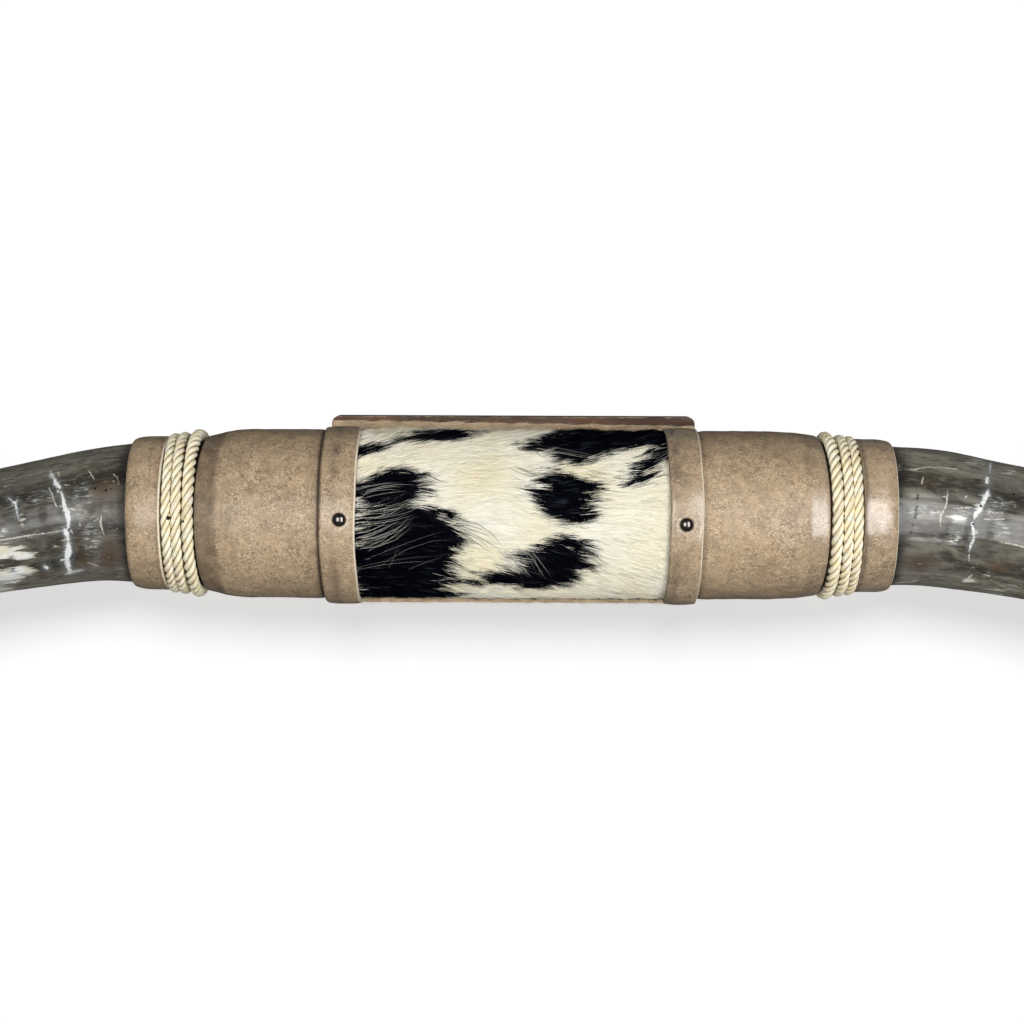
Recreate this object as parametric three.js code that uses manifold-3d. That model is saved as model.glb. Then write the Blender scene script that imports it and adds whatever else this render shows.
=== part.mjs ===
// A pair of polished steer horns joined by a leather-wrapped wooden core, hung on a wall by its back board.
// Units are millimetres. +X is to the viewer's right, +Z is up and +Y points into the wall.
// The origin is the centre of the back board's rear face, which rests against the wall.
import * as THREE from "three";
import { mergeVertices } from "three/addons/utils/BufferGeometryUtils.js";
import Module from "manifold-3d";

const wasm = await Module();
wasm.setup();

// Clearance between pieces that touch, and how finely round shapes are faceted.
const gap = 0.3;
const roundSegments = 30;
const studSegments = 12;
const screwSegments = 8;

// The core's axis runs along X, level with the origin and this far in front of the wall.
const axisDepth = 63;

// Back board, with its leather facing on the front and the flat that both need on the core.
const board = { left: -133.5, right: 135.1, halfHeight: 68, thickness: 19, cornerRadius: 5 };
const facing = { thickness: 2.7, leftTop: 65.2, rightTop: 62.4, bottom: -69.6, inset: 0.8 };
const boardFront = -board.thickness;
const facingFront = boardFront - gap - facing.thickness;
const flatFromAxis = facingFront - gap + axisDepth;

// Wooden core: a turned bar with a shoulder and a tenon at each end.
const core = {
  radius: 56.7,
  shoulderStart: 196,
  shoulderEnd: 212,
  neckRadius: 48.4,
  end: 222,
  tenonRadius: 32.4,
  tenonEnd: 265,
};

// Leather sleeves, drawn in over a shoulder to the neck where the rope is wound.
const sleeve = {
  start: 120,
  radius: 60.5,
  thickness: 3.5,
  shoulder: [[192, 60.5], [199, 59.8], [207.6, 57.9], [215, 56.2], [219.8, 55.6]],
  shoulderEdge: 220.4,
  neckRadius: 50.9,
  neckBore: 49.7,
  end: 246.5,
};

// Thick leather cuffs over the mouth of each horn.
const cuff = { start: 244.8, end: 270.6, radius: 55, lipRadius: 52, bore: 51.2, lipBore: 50.9 };

// Twisted rope, wound in turns between sleeve and cuff. The crossings to the next turn lie at the back.
const rope = {
  diameter: 7.2,
  pitch: 7.55,
  turns: 3,
  middle: 232.8,
  crossingHalfAngle: THREE.MathUtils.degToRad(30),
  endAngle: THREE.MathUtils.degToRad(150),
  sides: 6,
  stepsPerTurn: 20,
};

// Leather straps, one inch wide, held by a domed stud at the front.
const strap = { innerRadius: 60.8, outerRadius: 64 };
const straps = { left: [-132.4, -107.6], right: [108.4, 131.6] };
const stud = { headRadius: 4.9, headHeight: 3.8, rim: 0.4, shankRadius: 1.1, shankLength: 20 };
const studs = { left: { along: -118.4, raised: 2.2 }, right: { along: 119.7, raised: 0 } }; // raised in degrees

// Hair-on hide, which runs under both straps.
const hide = { halfLength: 119.7, skinInner: 57, hairOuter: 60.5 };

// Fixings at the back: screws through the board into the core, and a keyhole hanger let into the board.
const screw = { headRadius: 4.2, headHeight: 2.6, shankRadius: 2, length: 38, sunk: 0.5 };
const screwSpots = { across: 100, up: 25 };
const screwPoint = 3;
const hanger = {
  middle: 40,
  halfWidth: 9,
  halfHeight: 22,
  thickness: 1.5,
  setBack: 0.2,
  cornerRadius: 4,
  entryRadius: 5,
  entryUp: -6,
  slotHalfWidth: 2.5,
  slotUp: 6,
  pocketHalfWidth: 7.4,
  pocketHalfHeight: 13.4,
  pocketDepth: 12,
  screwUp: 17.8,
};
const hangerScrew = { headRadius: 2.6, headHeight: 1.2, shankRadius: 1.1, length: 13, sunk: 0.25 };

// Horns. Each bends as its distance from the base grows: rise is the angle above level and forward the
// angle away from the wall, in degrees. The radius falls as (1 - t^taper)^close, where t is 0 to 1, and
// flares towards the base. The base is pared down to go into the sleeve's neck and the cuff.
const hornBase = core.end + gap;
const paredBase = { neckLength: 24, neckRadius: 49.3, cuffRadius: 50.5 };
const flareLength = 30;
const socket = { radius: 33.2, depth: 44.6 };
const hornDepthLoss = 0.07; // share of its thickness that a horn loses front to back by the tip
const horns = {
  left: {
    side: -1,
    stations: [0, 36, 95, 150, 255, 400, 550, 700, 835],
    rise: [0, 0, -9.3, -10.3, -11.2, 1, 23, 47, 61],
    forward: [0, 0, 3, 7, 14, 21, 20, 9, -5],
    radius: 48.6,
    flare: 15,
    taper: 1.12,
    close: 0.76,
  },
  right: {
    side: 1,
    stations: [0, 36, 100, 150, 245, 400, 550, 700, 850],
    rise: [0, 0, -8.4, -11.2, -11.8, 3, 24, 48, 63],
    forward: [0, 0, 3, 6, 14, 22, 20, 8, -6],
    radius: 50.4,
    flare: 3,
    taper: 1.3,
    close: 0.78,
  },
};
const hornSides = 18;
const hornRings = 24;

// Materials, in the real finishes' colours.
const paint = (hex, roughness, metalness = 0) =>
  new THREE.MeshStandardMaterial({ color: hex, roughness, metalness });
const finish = {
  horn: paint(0x5b5752, 0.18),
  leather: paint(0xa8927a, 0.6),
  roughLeather: paint(0xb39873, 0.85),
  hair: paint(0xe6e0cf, 0.7),
  rope: paint(0xe2d3a6, 0.85),
  boardWood: paint(0x6f5644, 0.6),
  coreWood: paint(0xb48a5a, 0.7),
  stud: paint(0x2a2826, 0.2, 0.9),
  steel: paint(0xa9a9a6, 0.35, 0.9),
};

// Geometry to solid and back.
function toSolid(geometry) {
  const bare = geometry.clone();
  bare.deleteAttribute("normal");
  bare.deleteAttribute("uv");
  const merged = mergeVertices(bare, 1e-4);
  return new wasm.Manifold(
    new wasm.Mesh({
      numProp: 3,
      vertProperties: merged.attributes.position.array,
      triVerts: new Uint32Array(merged.index.array),
    }),
  );
}

function toGeometry(solid) {
  const mesh = solid.getMesh();
  const geometry = new THREE.BufferGeometry();
  geometry.setAttribute("position", new THREE.BufferAttribute(mesh.vertProperties, 3));
  geometry.setIndex(new THREE.BufferAttribute(mesh.triVerts, 1));
  geometry.computeVertexNormals();
  return geometry;
}

function cut(geometry, ...tools) {
  let solid = toSolid(geometry);
  for (const tool of tools) {
    solid = solid.subtract(toSolid(tool));
  }
  return toGeometry(solid);
}

// Turns a closed outline of [distance along X, radius] points about the X axis.
function turned(outline, segments = roundSegments) {
  const points = outline.map(([along, radius]) => new THREE.Vector2(radius, along));
  return new THREE.LatheGeometry(points, segments).rotateZ(-Math.PI / 2);
}

// The same for the other side of the object: mirrored in X, with the outline's order kept outward.
function mirrored(outline) {
  return outline.map(([along, radius]) => [-along, radius]).reverse();
}

// Puts a flat shape, drawn in Y and Z, between two places along X.
function extrudedAlongX(shape, from, to) {
  const turn = new THREE.Matrix4().makeBasis(
    new THREE.Vector3(0, 1, 0),
    new THREE.Vector3(0, 0, 1),
    new THREE.Vector3(1, 0, 0),
  );
  const options = { depth: to - from, curveSegments: roundSegments / 2, bevelEnabled: false };
  return new THREE.ExtrudeGeometry(shape, options).translate(0, 0, from).applyMatrix4(turn);
}

// A band round the core that stops at the flat, so that both its ends meet the board's facing.
function bandShape(innerRadius, outerRadius) {
  const outer = Math.acos(flatFromAxis / outerRadius);
  const inner = Math.acos(flatFromAxis / innerRadius);
  const shape = new THREE.Shape();
  shape.absarc(0, 0, outerRadius, outer, 2 * Math.PI - outer, false);
  shape.absarc(0, 0, innerRadius, 2 * Math.PI - inner, inner, true);
  shape.closePath();
  return shape;
}

// A plate in X and Z, extruded along Y from its front face to its rear face.
function plate(shape, front, rear) {
  return new THREE.ExtrudeGeometry(shape, { depth: rear - front, bevelEnabled: false, curveSegments: 3 })
    .rotateX(Math.PI / 2)
    .translate(0, rear, 0);
}

function roundedRectangle(left, bottom, right, top, radius) {
  const shape = new THREE.Shape();
  shape.absarc(right - radius, top - radius, radius, 0, Math.PI / 2);
  shape.absarc(left + radius, top - radius, radius, Math.PI / 2, Math.PI);
  shape.absarc(left + radius, bottom + radius, radius, Math.PI, 1.5 * Math.PI);
  shape.absarc(right - radius, bottom + radius, radius, 1.5 * Math.PI, 2 * Math.PI);
  shape.closePath();
  return shape;
}

// A countersunk screw that points along -Y from the wall side, or the hole for it when it is grown.
function screwAt(size, x, z, grow = 0) {
  const head = size.headRadius + grow;
  const shank = size.shankRadius + grow;
  const top = grow > 0 ? screwPoint : -size.sunk;
  const outline = [
    [-size.length - grow, 0],
    [-size.length - grow, shank / 2],
    [-size.length + screwPoint, shank],
    [-size.sunk - size.headHeight, shank],
    [-size.sunk, head],
  ];
  if (grow > 0) {
    outline.push([top, head]);
  }
  outline.push([top, 0]);
  return turned(outline, screwSegments).rotateZ(Math.PI / 2).translate(x, 0, z);
}

// Distance along the horn to a value, by a cubic that never overshoots its stations.
function between(stations, values, at) {
  const last = stations.length - 1;
  const slope = (i) => (values[i + 1] - values[i]) / (stations[i + 1] - stations[i]);
  const tangent = (i) => {
    if (i === 0 || i === last || slope(i - 1) * slope(i) <= 0) {
      return 0;
    }
    return (2 * slope(i - 1) * slope(i)) / (slope(i - 1) + slope(i));
  };
  let i = 0;
  while (i < last - 1 && at > stations[i + 1]) {
    i += 1;
  }
  const width = stations[i + 1] - stations[i];
  const t = Math.min((at - stations[i]) / width, 1);
  const early = (1 + 2 * t) * (1 - t) ** 2 * values[i] + t * (1 - t) ** 2 * width * tangent(i);
  const late = t * t * (3 - 2 * t) * values[i + 1] + t * t * (t - 1) * width * tangent(i + 1);
  return early + late;
}

// The line down the middle of a horn, found by walking along it in short steps.
function hornLine(horn) {
  const length = horn.stations.at(-1);
  const steps = 400;
  const step = length / steps;
  const place = new THREE.Vector3(horn.side * hornBase, 0, 0);
  const places = [place.clone()];
  const headings = [];
  for (let i = 0; i <= steps; i += 1) {
    const rise = THREE.MathUtils.degToRad(between(horn.stations, horn.rise, i * step));
    const forward = THREE.MathUtils.degToRad(between(horn.stations, horn.forward, i * step));
    const heading = new THREE.Vector3(
      horn.side * Math.cos(rise) * Math.cos(forward),
      -Math.cos(rise) * Math.sin(forward),
      Math.sin(rise),
    );
    headings.push(heading);
    place.addScaledVector(heading, step);
    places.push(place.clone());
  }
  return { length, step, places, headings };
}

// A straight horn is turned first, hollow at its base for the tenon, and then bent along its line.
function hornGeometry(horn) {
  const { length, step, places, headings } = hornLine(horn);
  const radiusAt = (along) => {
    const narrowing = (1 - (along / length) ** horn.taper) ** horn.close;
    const natural = horn.radius * narrowing + horn.flare * Math.exp(-along / flareLength);
    return Math.min(natural, paredBase.cuffRadius);
  };
  const outline = [
    [socket.depth, 0],
    [socket.depth, socket.radius],
    [0, socket.radius],
    [0, paredBase.neckRadius],
    [paredBase.neckLength, paredBase.neckRadius],
  ];
  const start = paredBase.neckLength + 1.5;
  for (let i = 0; i < hornRings; i += 1) {
    const along = length - (length - start) * (1 - i / hornRings) ** 1.25;
    outline.push([along, radiusAt(along)]);
  }
  outline.push([length, 0]);
  const straight = turned(outline, hornSides);
  const at = straight.attributes.position;
  const towardsWall = new THREE.Vector3(0, 1, 0);
  for (let i = 0; i < at.count; i += 1) {
    const along = at.getX(i);
    const index = THREE.MathUtils.clamp(Math.floor(along / step), 0, headings.length - 1);
    const middle = places[index].clone().lerp(places[index + 1], along / step - index);
    const heading = headings[index];
    const up = new THREE.Vector3().crossVectors(heading, towardsWall).normalize();
    const back = new THREE.Vector3().crossVectors(up, heading).multiplyScalar(horn.side);
    up.multiplyScalar(horn.side);
    const depthShare = 1 - hornDepthLoss * (along / length);
    middle.addScaledVector(up, at.getZ(i)).addScaledVector(back, horn.side * at.getY(i) * depthShare);
    at.setXYZ(i, middle.x, middle.y, middle.z);
  }
  straight.computeVertexNormals();
  return horn.side > 0 ? straight : facedOutward(straight);
}

// Turns every face round, for a shape that was mirrored.
function facedOutward(geometry) {
  const index = geometry.index.array;
  for (let i = 0; i < index.length; i += 3) {
    [index[i + 1], index[i + 2]] = [index[i + 2], index[i + 1]];
  }
  geometry.computeVertexNormals();
  return geometry;
}

// The rope's middle line: rings round the neck, each passing to the next across the back.
class RopeLine extends THREE.Curve {
  constructor(side) {
    super();
    this.side = side;
    const innerRadius = (sleeve.neckRadius + gap) / Math.cos(Math.PI / rope.stepsPerTurn);
    this.radius = innerRadius + rope.diameter / 2;
  }

  getPoint(t, target = new THREE.Vector3()) {
    const wholeTurn = 2 * Math.PI;
    const angle = -rope.endAngle + t * (wholeTurn * (rope.turns - 1) + 2 * rope.endAngle);
    const turn = Math.round(angle / wholeTurn);
    const fromFront = angle - turn * wholeTurn;
    const intoCrossing = Math.abs(fromFront) - (Math.PI - rope.crossingHalfAngle);
    const share = THREE.MathUtils.clamp(intoCrossing / (2 * rope.crossingHalfAngle), 0, 0.5);
    const shift = Math.sign(fromFront) * share * share * (3 - 2 * share);
    const along = (turn - (rope.turns - 1) / 2 + shift) * rope.pitch;
    return target.set(
      this.side * (rope.middle + along),
      -this.radius * Math.cos(angle),
      this.radius * Math.sin(angle),
    );
  }
}

function ropeGeometry(side) {
  const section = new THREE.Shape();
  for (let i = 0; i < rope.sides; i += 1) {
    const angle = (2 * Math.PI * i) / rope.sides;
    const x = (rope.diameter / 2) * Math.cos(angle);
    const y = (rope.diameter / 2) * Math.sin(angle);
    if (i === 0) {
      section.moveTo(x, y);
    } else {
      section.lineTo(x, y);
    }
  }
  section.closePath();
  return new THREE.ExtrudeGeometry(section, {
    steps: rope.turns * rope.stepsPerTurn,
    extrudePath: new RopeLine(side),
    bevelEnabled: false,
  });
}

// Outlines of the turned pieces, for the right-hand side.
const sleeveBore = sleeve.radius - sleeve.thickness;
const sleeveOutline = [
  [sleeve.start, sleeveBore],
  [sleeve.start, sleeve.radius],
  ...sleeve.shoulder,
  [sleeve.shoulderEdge, sleeve.neckRadius],
  [sleeve.end, sleeve.neckRadius],
  [sleeve.end, sleeve.neckBore],
  [core.shoulderEnd + gap, sleeve.neckBore],
  [core.shoulderStart + gap, sleeveBore],
  [sleeve.start, sleeveBore],
];
const cuffOutline = [
  [cuff.start, cuff.bore],
  [cuff.start, cuff.radius],
  [cuff.end - 9, cuff.radius - 0.1],
  [cuff.end - 4, cuff.radius - 1.2],
  [cuff.end, cuff.lipRadius],
  [cuff.end, cuff.lipBore],
  [sleeve.end + gap, cuff.lipBore],
  [sleeve.end + gap, cuff.bore],
  [cuff.start, cuff.bore],
];
const coreHalf = [
  [core.shoulderStart, core.radius],
  [core.shoulderEnd, core.neckRadius],
  [core.end, core.neckRadius],
  [core.end, core.tenonRadius],
  [core.tenonEnd - 4, core.tenonRadius],
  [core.tenonEnd, core.tenonRadius - 4],
  [core.tenonEnd, 0],
];

// The room that the board and its facing take out of the core and the sleeves.
function boardRoom() {
  const length = board.right - board.left + 2 * gap;
  const depth = axisDepth;
  return new THREE.BoxGeometry(length, depth, 4 * board.halfHeight).translate(
    (board.left + board.right) / 2,
    flatFromAxis + depth / 2,
    0,
  );
}

// Puts a shape that was made along Y on the front of a strap, and turns it up round the core's axis.
function ontoStrap(geometry, spot) {
  return geometry
    .translate(spot.along, -strap.outerRadius - gap, 0)
    .rotateX(-THREE.MathUtils.degToRad(spot.raised));
}

// A drilled hole in the front of the core, for a stud's shank.
function studHole(spot) {
  const radius = stud.shankRadius + gap;
  const depth = 2 * (stud.shankLength + 1);
  return ontoStrap(new THREE.CylinderGeometry(radius, radius, depth, screwSegments), spot);
}

function studGeometry(spot) {
  const outline = [
    [-stud.shankLength, 0],
    [-stud.shankLength + screwPoint, stud.shankRadius],
    [0, stud.shankRadius],
    [0, stud.headRadius],
  ];
  const domeSteps = 4;
  for (let i = 1; i <= domeSteps; i += 1) {
    const angle = (Math.PI / 2) * (i / domeSteps);
    const radius = i === domeSteps ? 0 : stud.headRadius * Math.cos(angle);
    outline.push([stud.rim + (stud.headHeight - stud.rim) * Math.sin(angle), radius]);
  }
  return ontoStrap(turned(outline, studSegments).rotateZ(-Math.PI / 2), spot);
}

// Four screws hold the board: their places from the board's centre.
const boardScrews = [
  ["board_screw_upper_left", -screwSpots.across, screwSpots.up],
  ["board_screw_upper_right", screwSpots.across, screwSpots.up],
  ["board_screw_lower_left", -screwSpots.across, -screwSpots.up],
  ["board_screw_lower_right", screwSpots.across, -screwSpots.up],
];
const screwHoles = () => boardScrews.map(([, x, z]) => screwAt(screw, x, z, gap));
const screwHolesInCore = () => screwHoles().map((hole) => hole.translate(0, axisDepth, 0));

// Groups: what is placed from the core's axis, and what is placed from the wall.
const aroundAxis = new THREE.Group();
aroundAxis.position.y = -axisDepth;
const onWall = new THREE.Group();
const part = new THREE.Group();
part.add(aroundAxis, onWall);

function addPiece(group, name, geometry, material) {
  const mesh = new THREE.Mesh(geometry, material);
  mesh.name = name;
  group.add(mesh);
}

// Horns
for (const [side, horn] of Object.entries(horns)) {
  addPiece(aroundAxis, `horn_${side}`, hornGeometry(horn), finish.horn);
}

// Wooden core
const coreOutline = [...mirrored(coreHalf), ...coreHalf];
addPiece(
  aroundAxis,
  "wood_core",
  cut(
    turned(coreOutline),
    boardRoom(),
    studHole(studs.left),
    studHole(studs.right),
    ...screwHolesInCore(),
  ),
  finish.coreWood,
);

// Sleeves, cuffs and rope
for (const [side, sign] of [["left", -1], ["right", 1]]) {
  const sided = (outline) => (sign > 0 ? outline : mirrored(outline));
  addPiece(
    aroundAxis,
    `sleeve_${side}`,
    cut(turned(sided(sleeveOutline)), boardRoom(), studHole(studs[side])),
    finish.leather,
  );
  addPiece(aroundAxis, `cuff_${side}`, turned(sided(cuffOutline)), finish.leather);
  addPiece(aroundAxis, `rope_${side}`, ropeGeometry(sign), finish.rope);
}

// Hide between the straps
const hideBand = extrudedAlongX(
  bandShape(hide.skinInner, hide.hairOuter),
  -hide.halfLength,
  hide.halfLength,
);
addPiece(
  aroundAxis,
  "cowhide_panel",
  cut(hideBand, studHole(studs.left), studHole(studs.right)),
  finish.hair,
);

// Straps and their studs
for (const [side, [from, to]] of Object.entries(straps)) {
  const band = extrudedAlongX(bandShape(strap.innerRadius, strap.outerRadius), from, to);
  addPiece(aroundAxis, `strap_${side}`, cut(band, studHole(studs[side])), finish.leather);
  addPiece(aroundAxis, `stud_${side}`, studGeometry(studs[side]), finish.stud);
}

// Keyhole hanger plate, and the pocket behind it for the head of the wall screw
const hangerOutline = (grow) =>
  roundedRectangle(
    -hanger.halfWidth - grow,
    hanger.middle - hanger.halfHeight - grow,
    hanger.halfWidth + grow,
    hanger.middle + hanger.halfHeight + grow,
    hanger.cornerRadius,
  );
const hangerFront = -hanger.setBack - hanger.thickness;
const hangerPlateShape = hangerOutline(0);
const keyhole = new THREE.Path();
const slotMeets = Math.asin(hanger.slotHalfWidth / hanger.entryRadius);
keyhole.absarc(
  0,
  hanger.middle + hanger.entryUp,
  hanger.entryRadius,
  Math.PI / 2 + slotMeets,
  2.5 * Math.PI - slotMeets,
  false,
);
keyhole.absarc(0, hanger.middle + hanger.slotUp, hanger.slotHalfWidth, 0, Math.PI, false);
keyhole.closePath();
hangerPlateShape.holes.push(keyhole);
const hangerScrewSpots = [
  ["hanger_screw_upper", hanger.middle + hanger.screwUp],
  ["hanger_screw_lower", hanger.middle - hanger.screwUp],
];
const hangerScrewAt = (z, grow) => screwAt(hangerScrew, 0, z, grow).translate(0, -hanger.setBack, 0);
const hangerScrewHoles = () => hangerScrewSpots.map(([, z]) => hangerScrewAt(z, gap));
addPiece(
  onWall,
  "hanger_plate",
  cut(plate(hangerPlateShape, hangerFront, -hanger.setBack), ...hangerScrewHoles()),
  finish.steel,
);
for (const [name, z] of hangerScrewSpots) {
  addPiece(onWall, name, hangerScrewAt(z, 0), finish.steel);
}

// Back board and its leather facing
const boardShape = roundedRectangle(
  board.left,
  -board.halfHeight,
  board.right,
  board.halfHeight,
  board.cornerRadius,
);
const pocket = new THREE.BoxGeometry(
  2 * hanger.pocketHalfWidth,
  hanger.pocketDepth,
  2 * hanger.pocketHalfHeight,
).translate(0, -hanger.pocketDepth / 2, hanger.middle);
addPiece(
  onWall,
  "back_board",
  cut(
    plate(boardShape, boardFront, 0),
    plate(hangerOutline(gap), hangerFront - gap, hanger.thickness),
    pocket,
    ...hangerScrewHoles(),
    ...screwHoles(),
  ),
  finish.boardWood,
);
const facingShape = new THREE.Shape();
facingShape.moveTo(board.left + facing.inset, facing.bottom);
facingShape.lineTo(board.right - facing.inset, facing.bottom);
facingShape.lineTo(board.right - facing.inset, facing.rightTop);
facingShape.lineTo(board.left + facing.inset, facing.leftTop);
facingShape.closePath();
addPiece(
  onWall,
  "board_facing",
  cut(plate(facingShape, facingFront, boardFront - gap), ...screwHoles()),
  finish.roughLeather,
);
for (const [name, x, z] of boardScrews) {
  addPiece(onWall, name, screwAt(screw, x, z), finish.steel);
}

export default part;
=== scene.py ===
# Mounted longhorn horns: the finish of every piece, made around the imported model.
# Sizes are millimetres from the middle of the core's axis: +X right, +Y into the wall, +Z up.
import math

import bpy
import numpy as np
from mathutils import Matrix, Vector


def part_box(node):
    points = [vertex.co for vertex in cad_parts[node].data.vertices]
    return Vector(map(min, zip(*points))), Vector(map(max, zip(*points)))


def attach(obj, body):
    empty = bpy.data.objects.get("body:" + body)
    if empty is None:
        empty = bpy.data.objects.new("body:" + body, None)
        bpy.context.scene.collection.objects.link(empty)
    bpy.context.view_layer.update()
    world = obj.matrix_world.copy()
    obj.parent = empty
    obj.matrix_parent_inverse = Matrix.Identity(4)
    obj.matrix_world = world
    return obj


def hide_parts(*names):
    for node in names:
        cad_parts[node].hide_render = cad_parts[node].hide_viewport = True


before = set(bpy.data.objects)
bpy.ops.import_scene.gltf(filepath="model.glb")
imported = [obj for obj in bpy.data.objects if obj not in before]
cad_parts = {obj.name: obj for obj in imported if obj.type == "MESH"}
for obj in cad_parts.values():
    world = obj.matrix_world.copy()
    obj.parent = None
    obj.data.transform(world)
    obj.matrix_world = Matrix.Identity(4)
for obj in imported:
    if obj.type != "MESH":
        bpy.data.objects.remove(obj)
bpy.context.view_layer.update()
mm = 0.001
cuffLow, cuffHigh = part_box("cuff_left")
facingLow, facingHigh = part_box("board_facing")
boardLow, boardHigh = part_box("back_board")
axisOut = -(cuffLow.y + cuffHigh.y) / 2 / mm      # the core's axis is this far in front of the wall
flat = facingLow.y / mm + axisOut - 0.3           # the flat behind the core, for the board
roundTurn = 2 * math.pi
sides = {"left": -1, "right": 1}


# Maths

# Smooth step: 0 below low, 1 above high and 3t^2 - 2t^3 between.
def smoothStep(low, high, value):
    t = np.clip((value - low) / (high - low), 0, 1)
    return t * t * (3 - 2 * t)


# A bump of height 1 and the given half-width: e^-(distance / width)^2.
def hump(distance, width):
    return np.exp(-((distance / width) ** 2))


# Smooth unevenness from about -1 to 1: the sum of sine waves of about `size` in random directions.
def ripple(points, size, seed, waves=10):
    dice = np.random.default_rng(seed)
    total = np.zeros(points.shape[:-1])
    for _ in range(waves):
        direction = dice.normal(size=points.shape[-1])
        direction *= roundTurn / size * dice.uniform(0.6, 1.5) / np.linalg.norm(direction)
        total += np.sin(points @ direction + dice.uniform(0, roundTurn))
    return total / math.sqrt(waves)


# Millimetres from the core's axis to metres in the frame.
def toFrame(points):
    return (np.asarray(points, float) + (0, -axisOut, 0)) * mm


# The two ends of a stretch, from millimetres to metres.
def span(ends):
    return [end * mm for end in ends]


# Points round the X axis: x stays, y is -radius cos(angle) and z is radius sin(angle), so 0 is the front.
def roundAxis(x, radius, angle):
    x, radius, angle = np.broadcast_arrays(x, radius, angle)
    return np.stack([x, -radius * np.cos(angle), radius * np.sin(angle)], -1)


# Distance of points in a plane to the nearest of some open lines, less the line's half-width there. A line
# is a list of corners, each with or without its own half-width.
def distanceToLines(points, lines, halfWidth=0.0):
    best = np.full(points.shape[:-1], 1e3)
    for line in lines:
        corners = np.array(line, float)
        wide = corners[:, 2] if corners.shape[1] == 3 else np.full(len(corners), halfWidth)
        corners = corners[:, :2]
        for i, (start, stop) in enumerate(zip(corners[:-1], corners[1:])):
            side = stop - start
            t = np.clip(((points - start) @ side) / (side @ side), 0, 1)
            away = np.linalg.norm(points - start - t[..., None] * side, axis=-1)
            best = np.minimum(best, away - wide[i] - t * (wide[i + 1] - wide[i]))
    return best


# True where a point lies inside a closed outline: a ray to its right crosses that an odd number of times.
def insideOutline(points, outline):
    corners = np.array(outline, float)
    inside = np.zeros(points.shape[:-1], bool)
    for (x0, y0), (x1, y1) in zip(corners, np.roll(corners, -1, 0)):
        spans = (y0 > points[..., 1]) != (y1 > points[..., 1])
        crossing = x0 + (points[..., 1] - y0) * (x1 - x0) / ((y1 - y0) or 1e-9)
        inside ^= spans & (points[..., 0] < crossing)
    return inside


def addObject(name, data):
    made = bpy.data.objects.new(name, data)
    bpy.context.scene.collection.objects.link(made)
    return made


# Camera, first, because marks on the pieces are placed by where they fall in the picture

eye = {
    "distance": 1.296,    # metres from the middle of the axis
    "elevation": 6.0,
    "aimUp": 0.00165,
    "roll": 0.24,
    "lens": 63.28,
    "sensor": 36.0,
    "picture": 1024,      # pixels
    "axisRow": 514.3,     # where the core's axis falls in the picture
    "axisColumn": 512.5,
}


def addCamera():
    data = bpy.data.cameras.new("camera")
    data.lens, data.sensor_width = eye["lens"], eye["sensor"]
    data.clip_start, data.clip_end = 0.05, 50
    camera = addObject("camera", data)
    elevation = math.radians(eye["elevation"])
    middle = Vector((0, -axisOut * mm, 0))
    place = middle + eye["distance"] * Vector((0, -math.cos(elevation), math.sin(elevation)))
    looking = (middle + Vector((0, 0, eye["aimUp"])) - place).to_track_quat("-Z", "Y").to_matrix().to_4x4()
    roll = Matrix.Rotation(math.radians(eye["roll"]), 4, "Z")
    camera.matrix_world = Matrix.Translation(place) @ looking @ roll
    bpy.context.scene.camera = camera
    return camera.matrix_world.copy()


cameraPlace = addCamera()
print("camera placed")


# Where points from the axis fall in the picture, in pixels: sideways over depth times the lens.
def inPicture(points):
    turn = np.array(cameraPlace.to_3x3())
    local = (toFrame(points) - np.array(cameraPlace.translation)) @ turn
    zoom = eye["picture"] * eye["lens"] / eye["sensor"] / -local[..., 2]
    middle = eye["picture"] / 2
    return np.stack([middle + zoom * local[..., 0], middle - zoom * local[..., 1]], -1)


# Meshes

# Quads of a grid, with the place of each corner in it from 0 to 1. Its last column joins the first, and so
# does its last row where rows wrap.
def gridFaces(rows, cols, wrapRows=False):
    strips = rows if wrapRows else rows - 1
    row, col = np.meshgrid(np.arange(strips), np.arange(cols), indexing="ij")
    rowAt = np.stack([row, row, row + 1, row + 1], -1).reshape(-1, 4)
    colAt = np.stack([col, col + 1, col + 1, col], -1).reshape(-1, 4)
    quads = (rowAt % rows) * cols + colAt % cols
    return quads, np.stack([colAt / cols, rowAt / strips], -1)


# A tube of rings: quads between them, and a fan of triangles to a middle point at each end.
def tubeFaces(rings):
    rows, cols = rings.shape[:2]
    quads, places = gridFaces(rows, cols)
    here = np.arange(cols)
    ahead = (here + 1) % cols
    middle = np.full(cols, rows * cols)
    last = (rows - 1) * cols
    first = np.stack([ahead, here, middle], -1)
    second = np.stack([last + here, last + ahead, middle + 1], -1)
    points = np.concatenate([rings.reshape(-1, 3), rings[0].mean(0)[None], rings[-1].mean(0)[None]])
    across = np.stack([(here + 1) / cols, here / cols, (here + 0.5) / cols], -1)
    fanPlaces = [np.stack([across, np.full((cols, 3), 0.0)], -1),
                 np.stack([across[:, [1, 0, 2]], np.full((cols, 3), 1.0)], -1)]
    return points, [quads, first, second], [places, *fanPlaces]


# Six times the volume that closed faces hold: negative when they point inwards.
def signedVolume(points, faces):
    total = 0.0
    for some in faces:
        for i in range(1, some.shape[1] - 1):
            a, b, c = points[some[:, 0]], points[some[:, i]], points[some[:, i + 1]]
            total += np.einsum("ij,ij->", a, np.cross(b, c))
    return total


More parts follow.
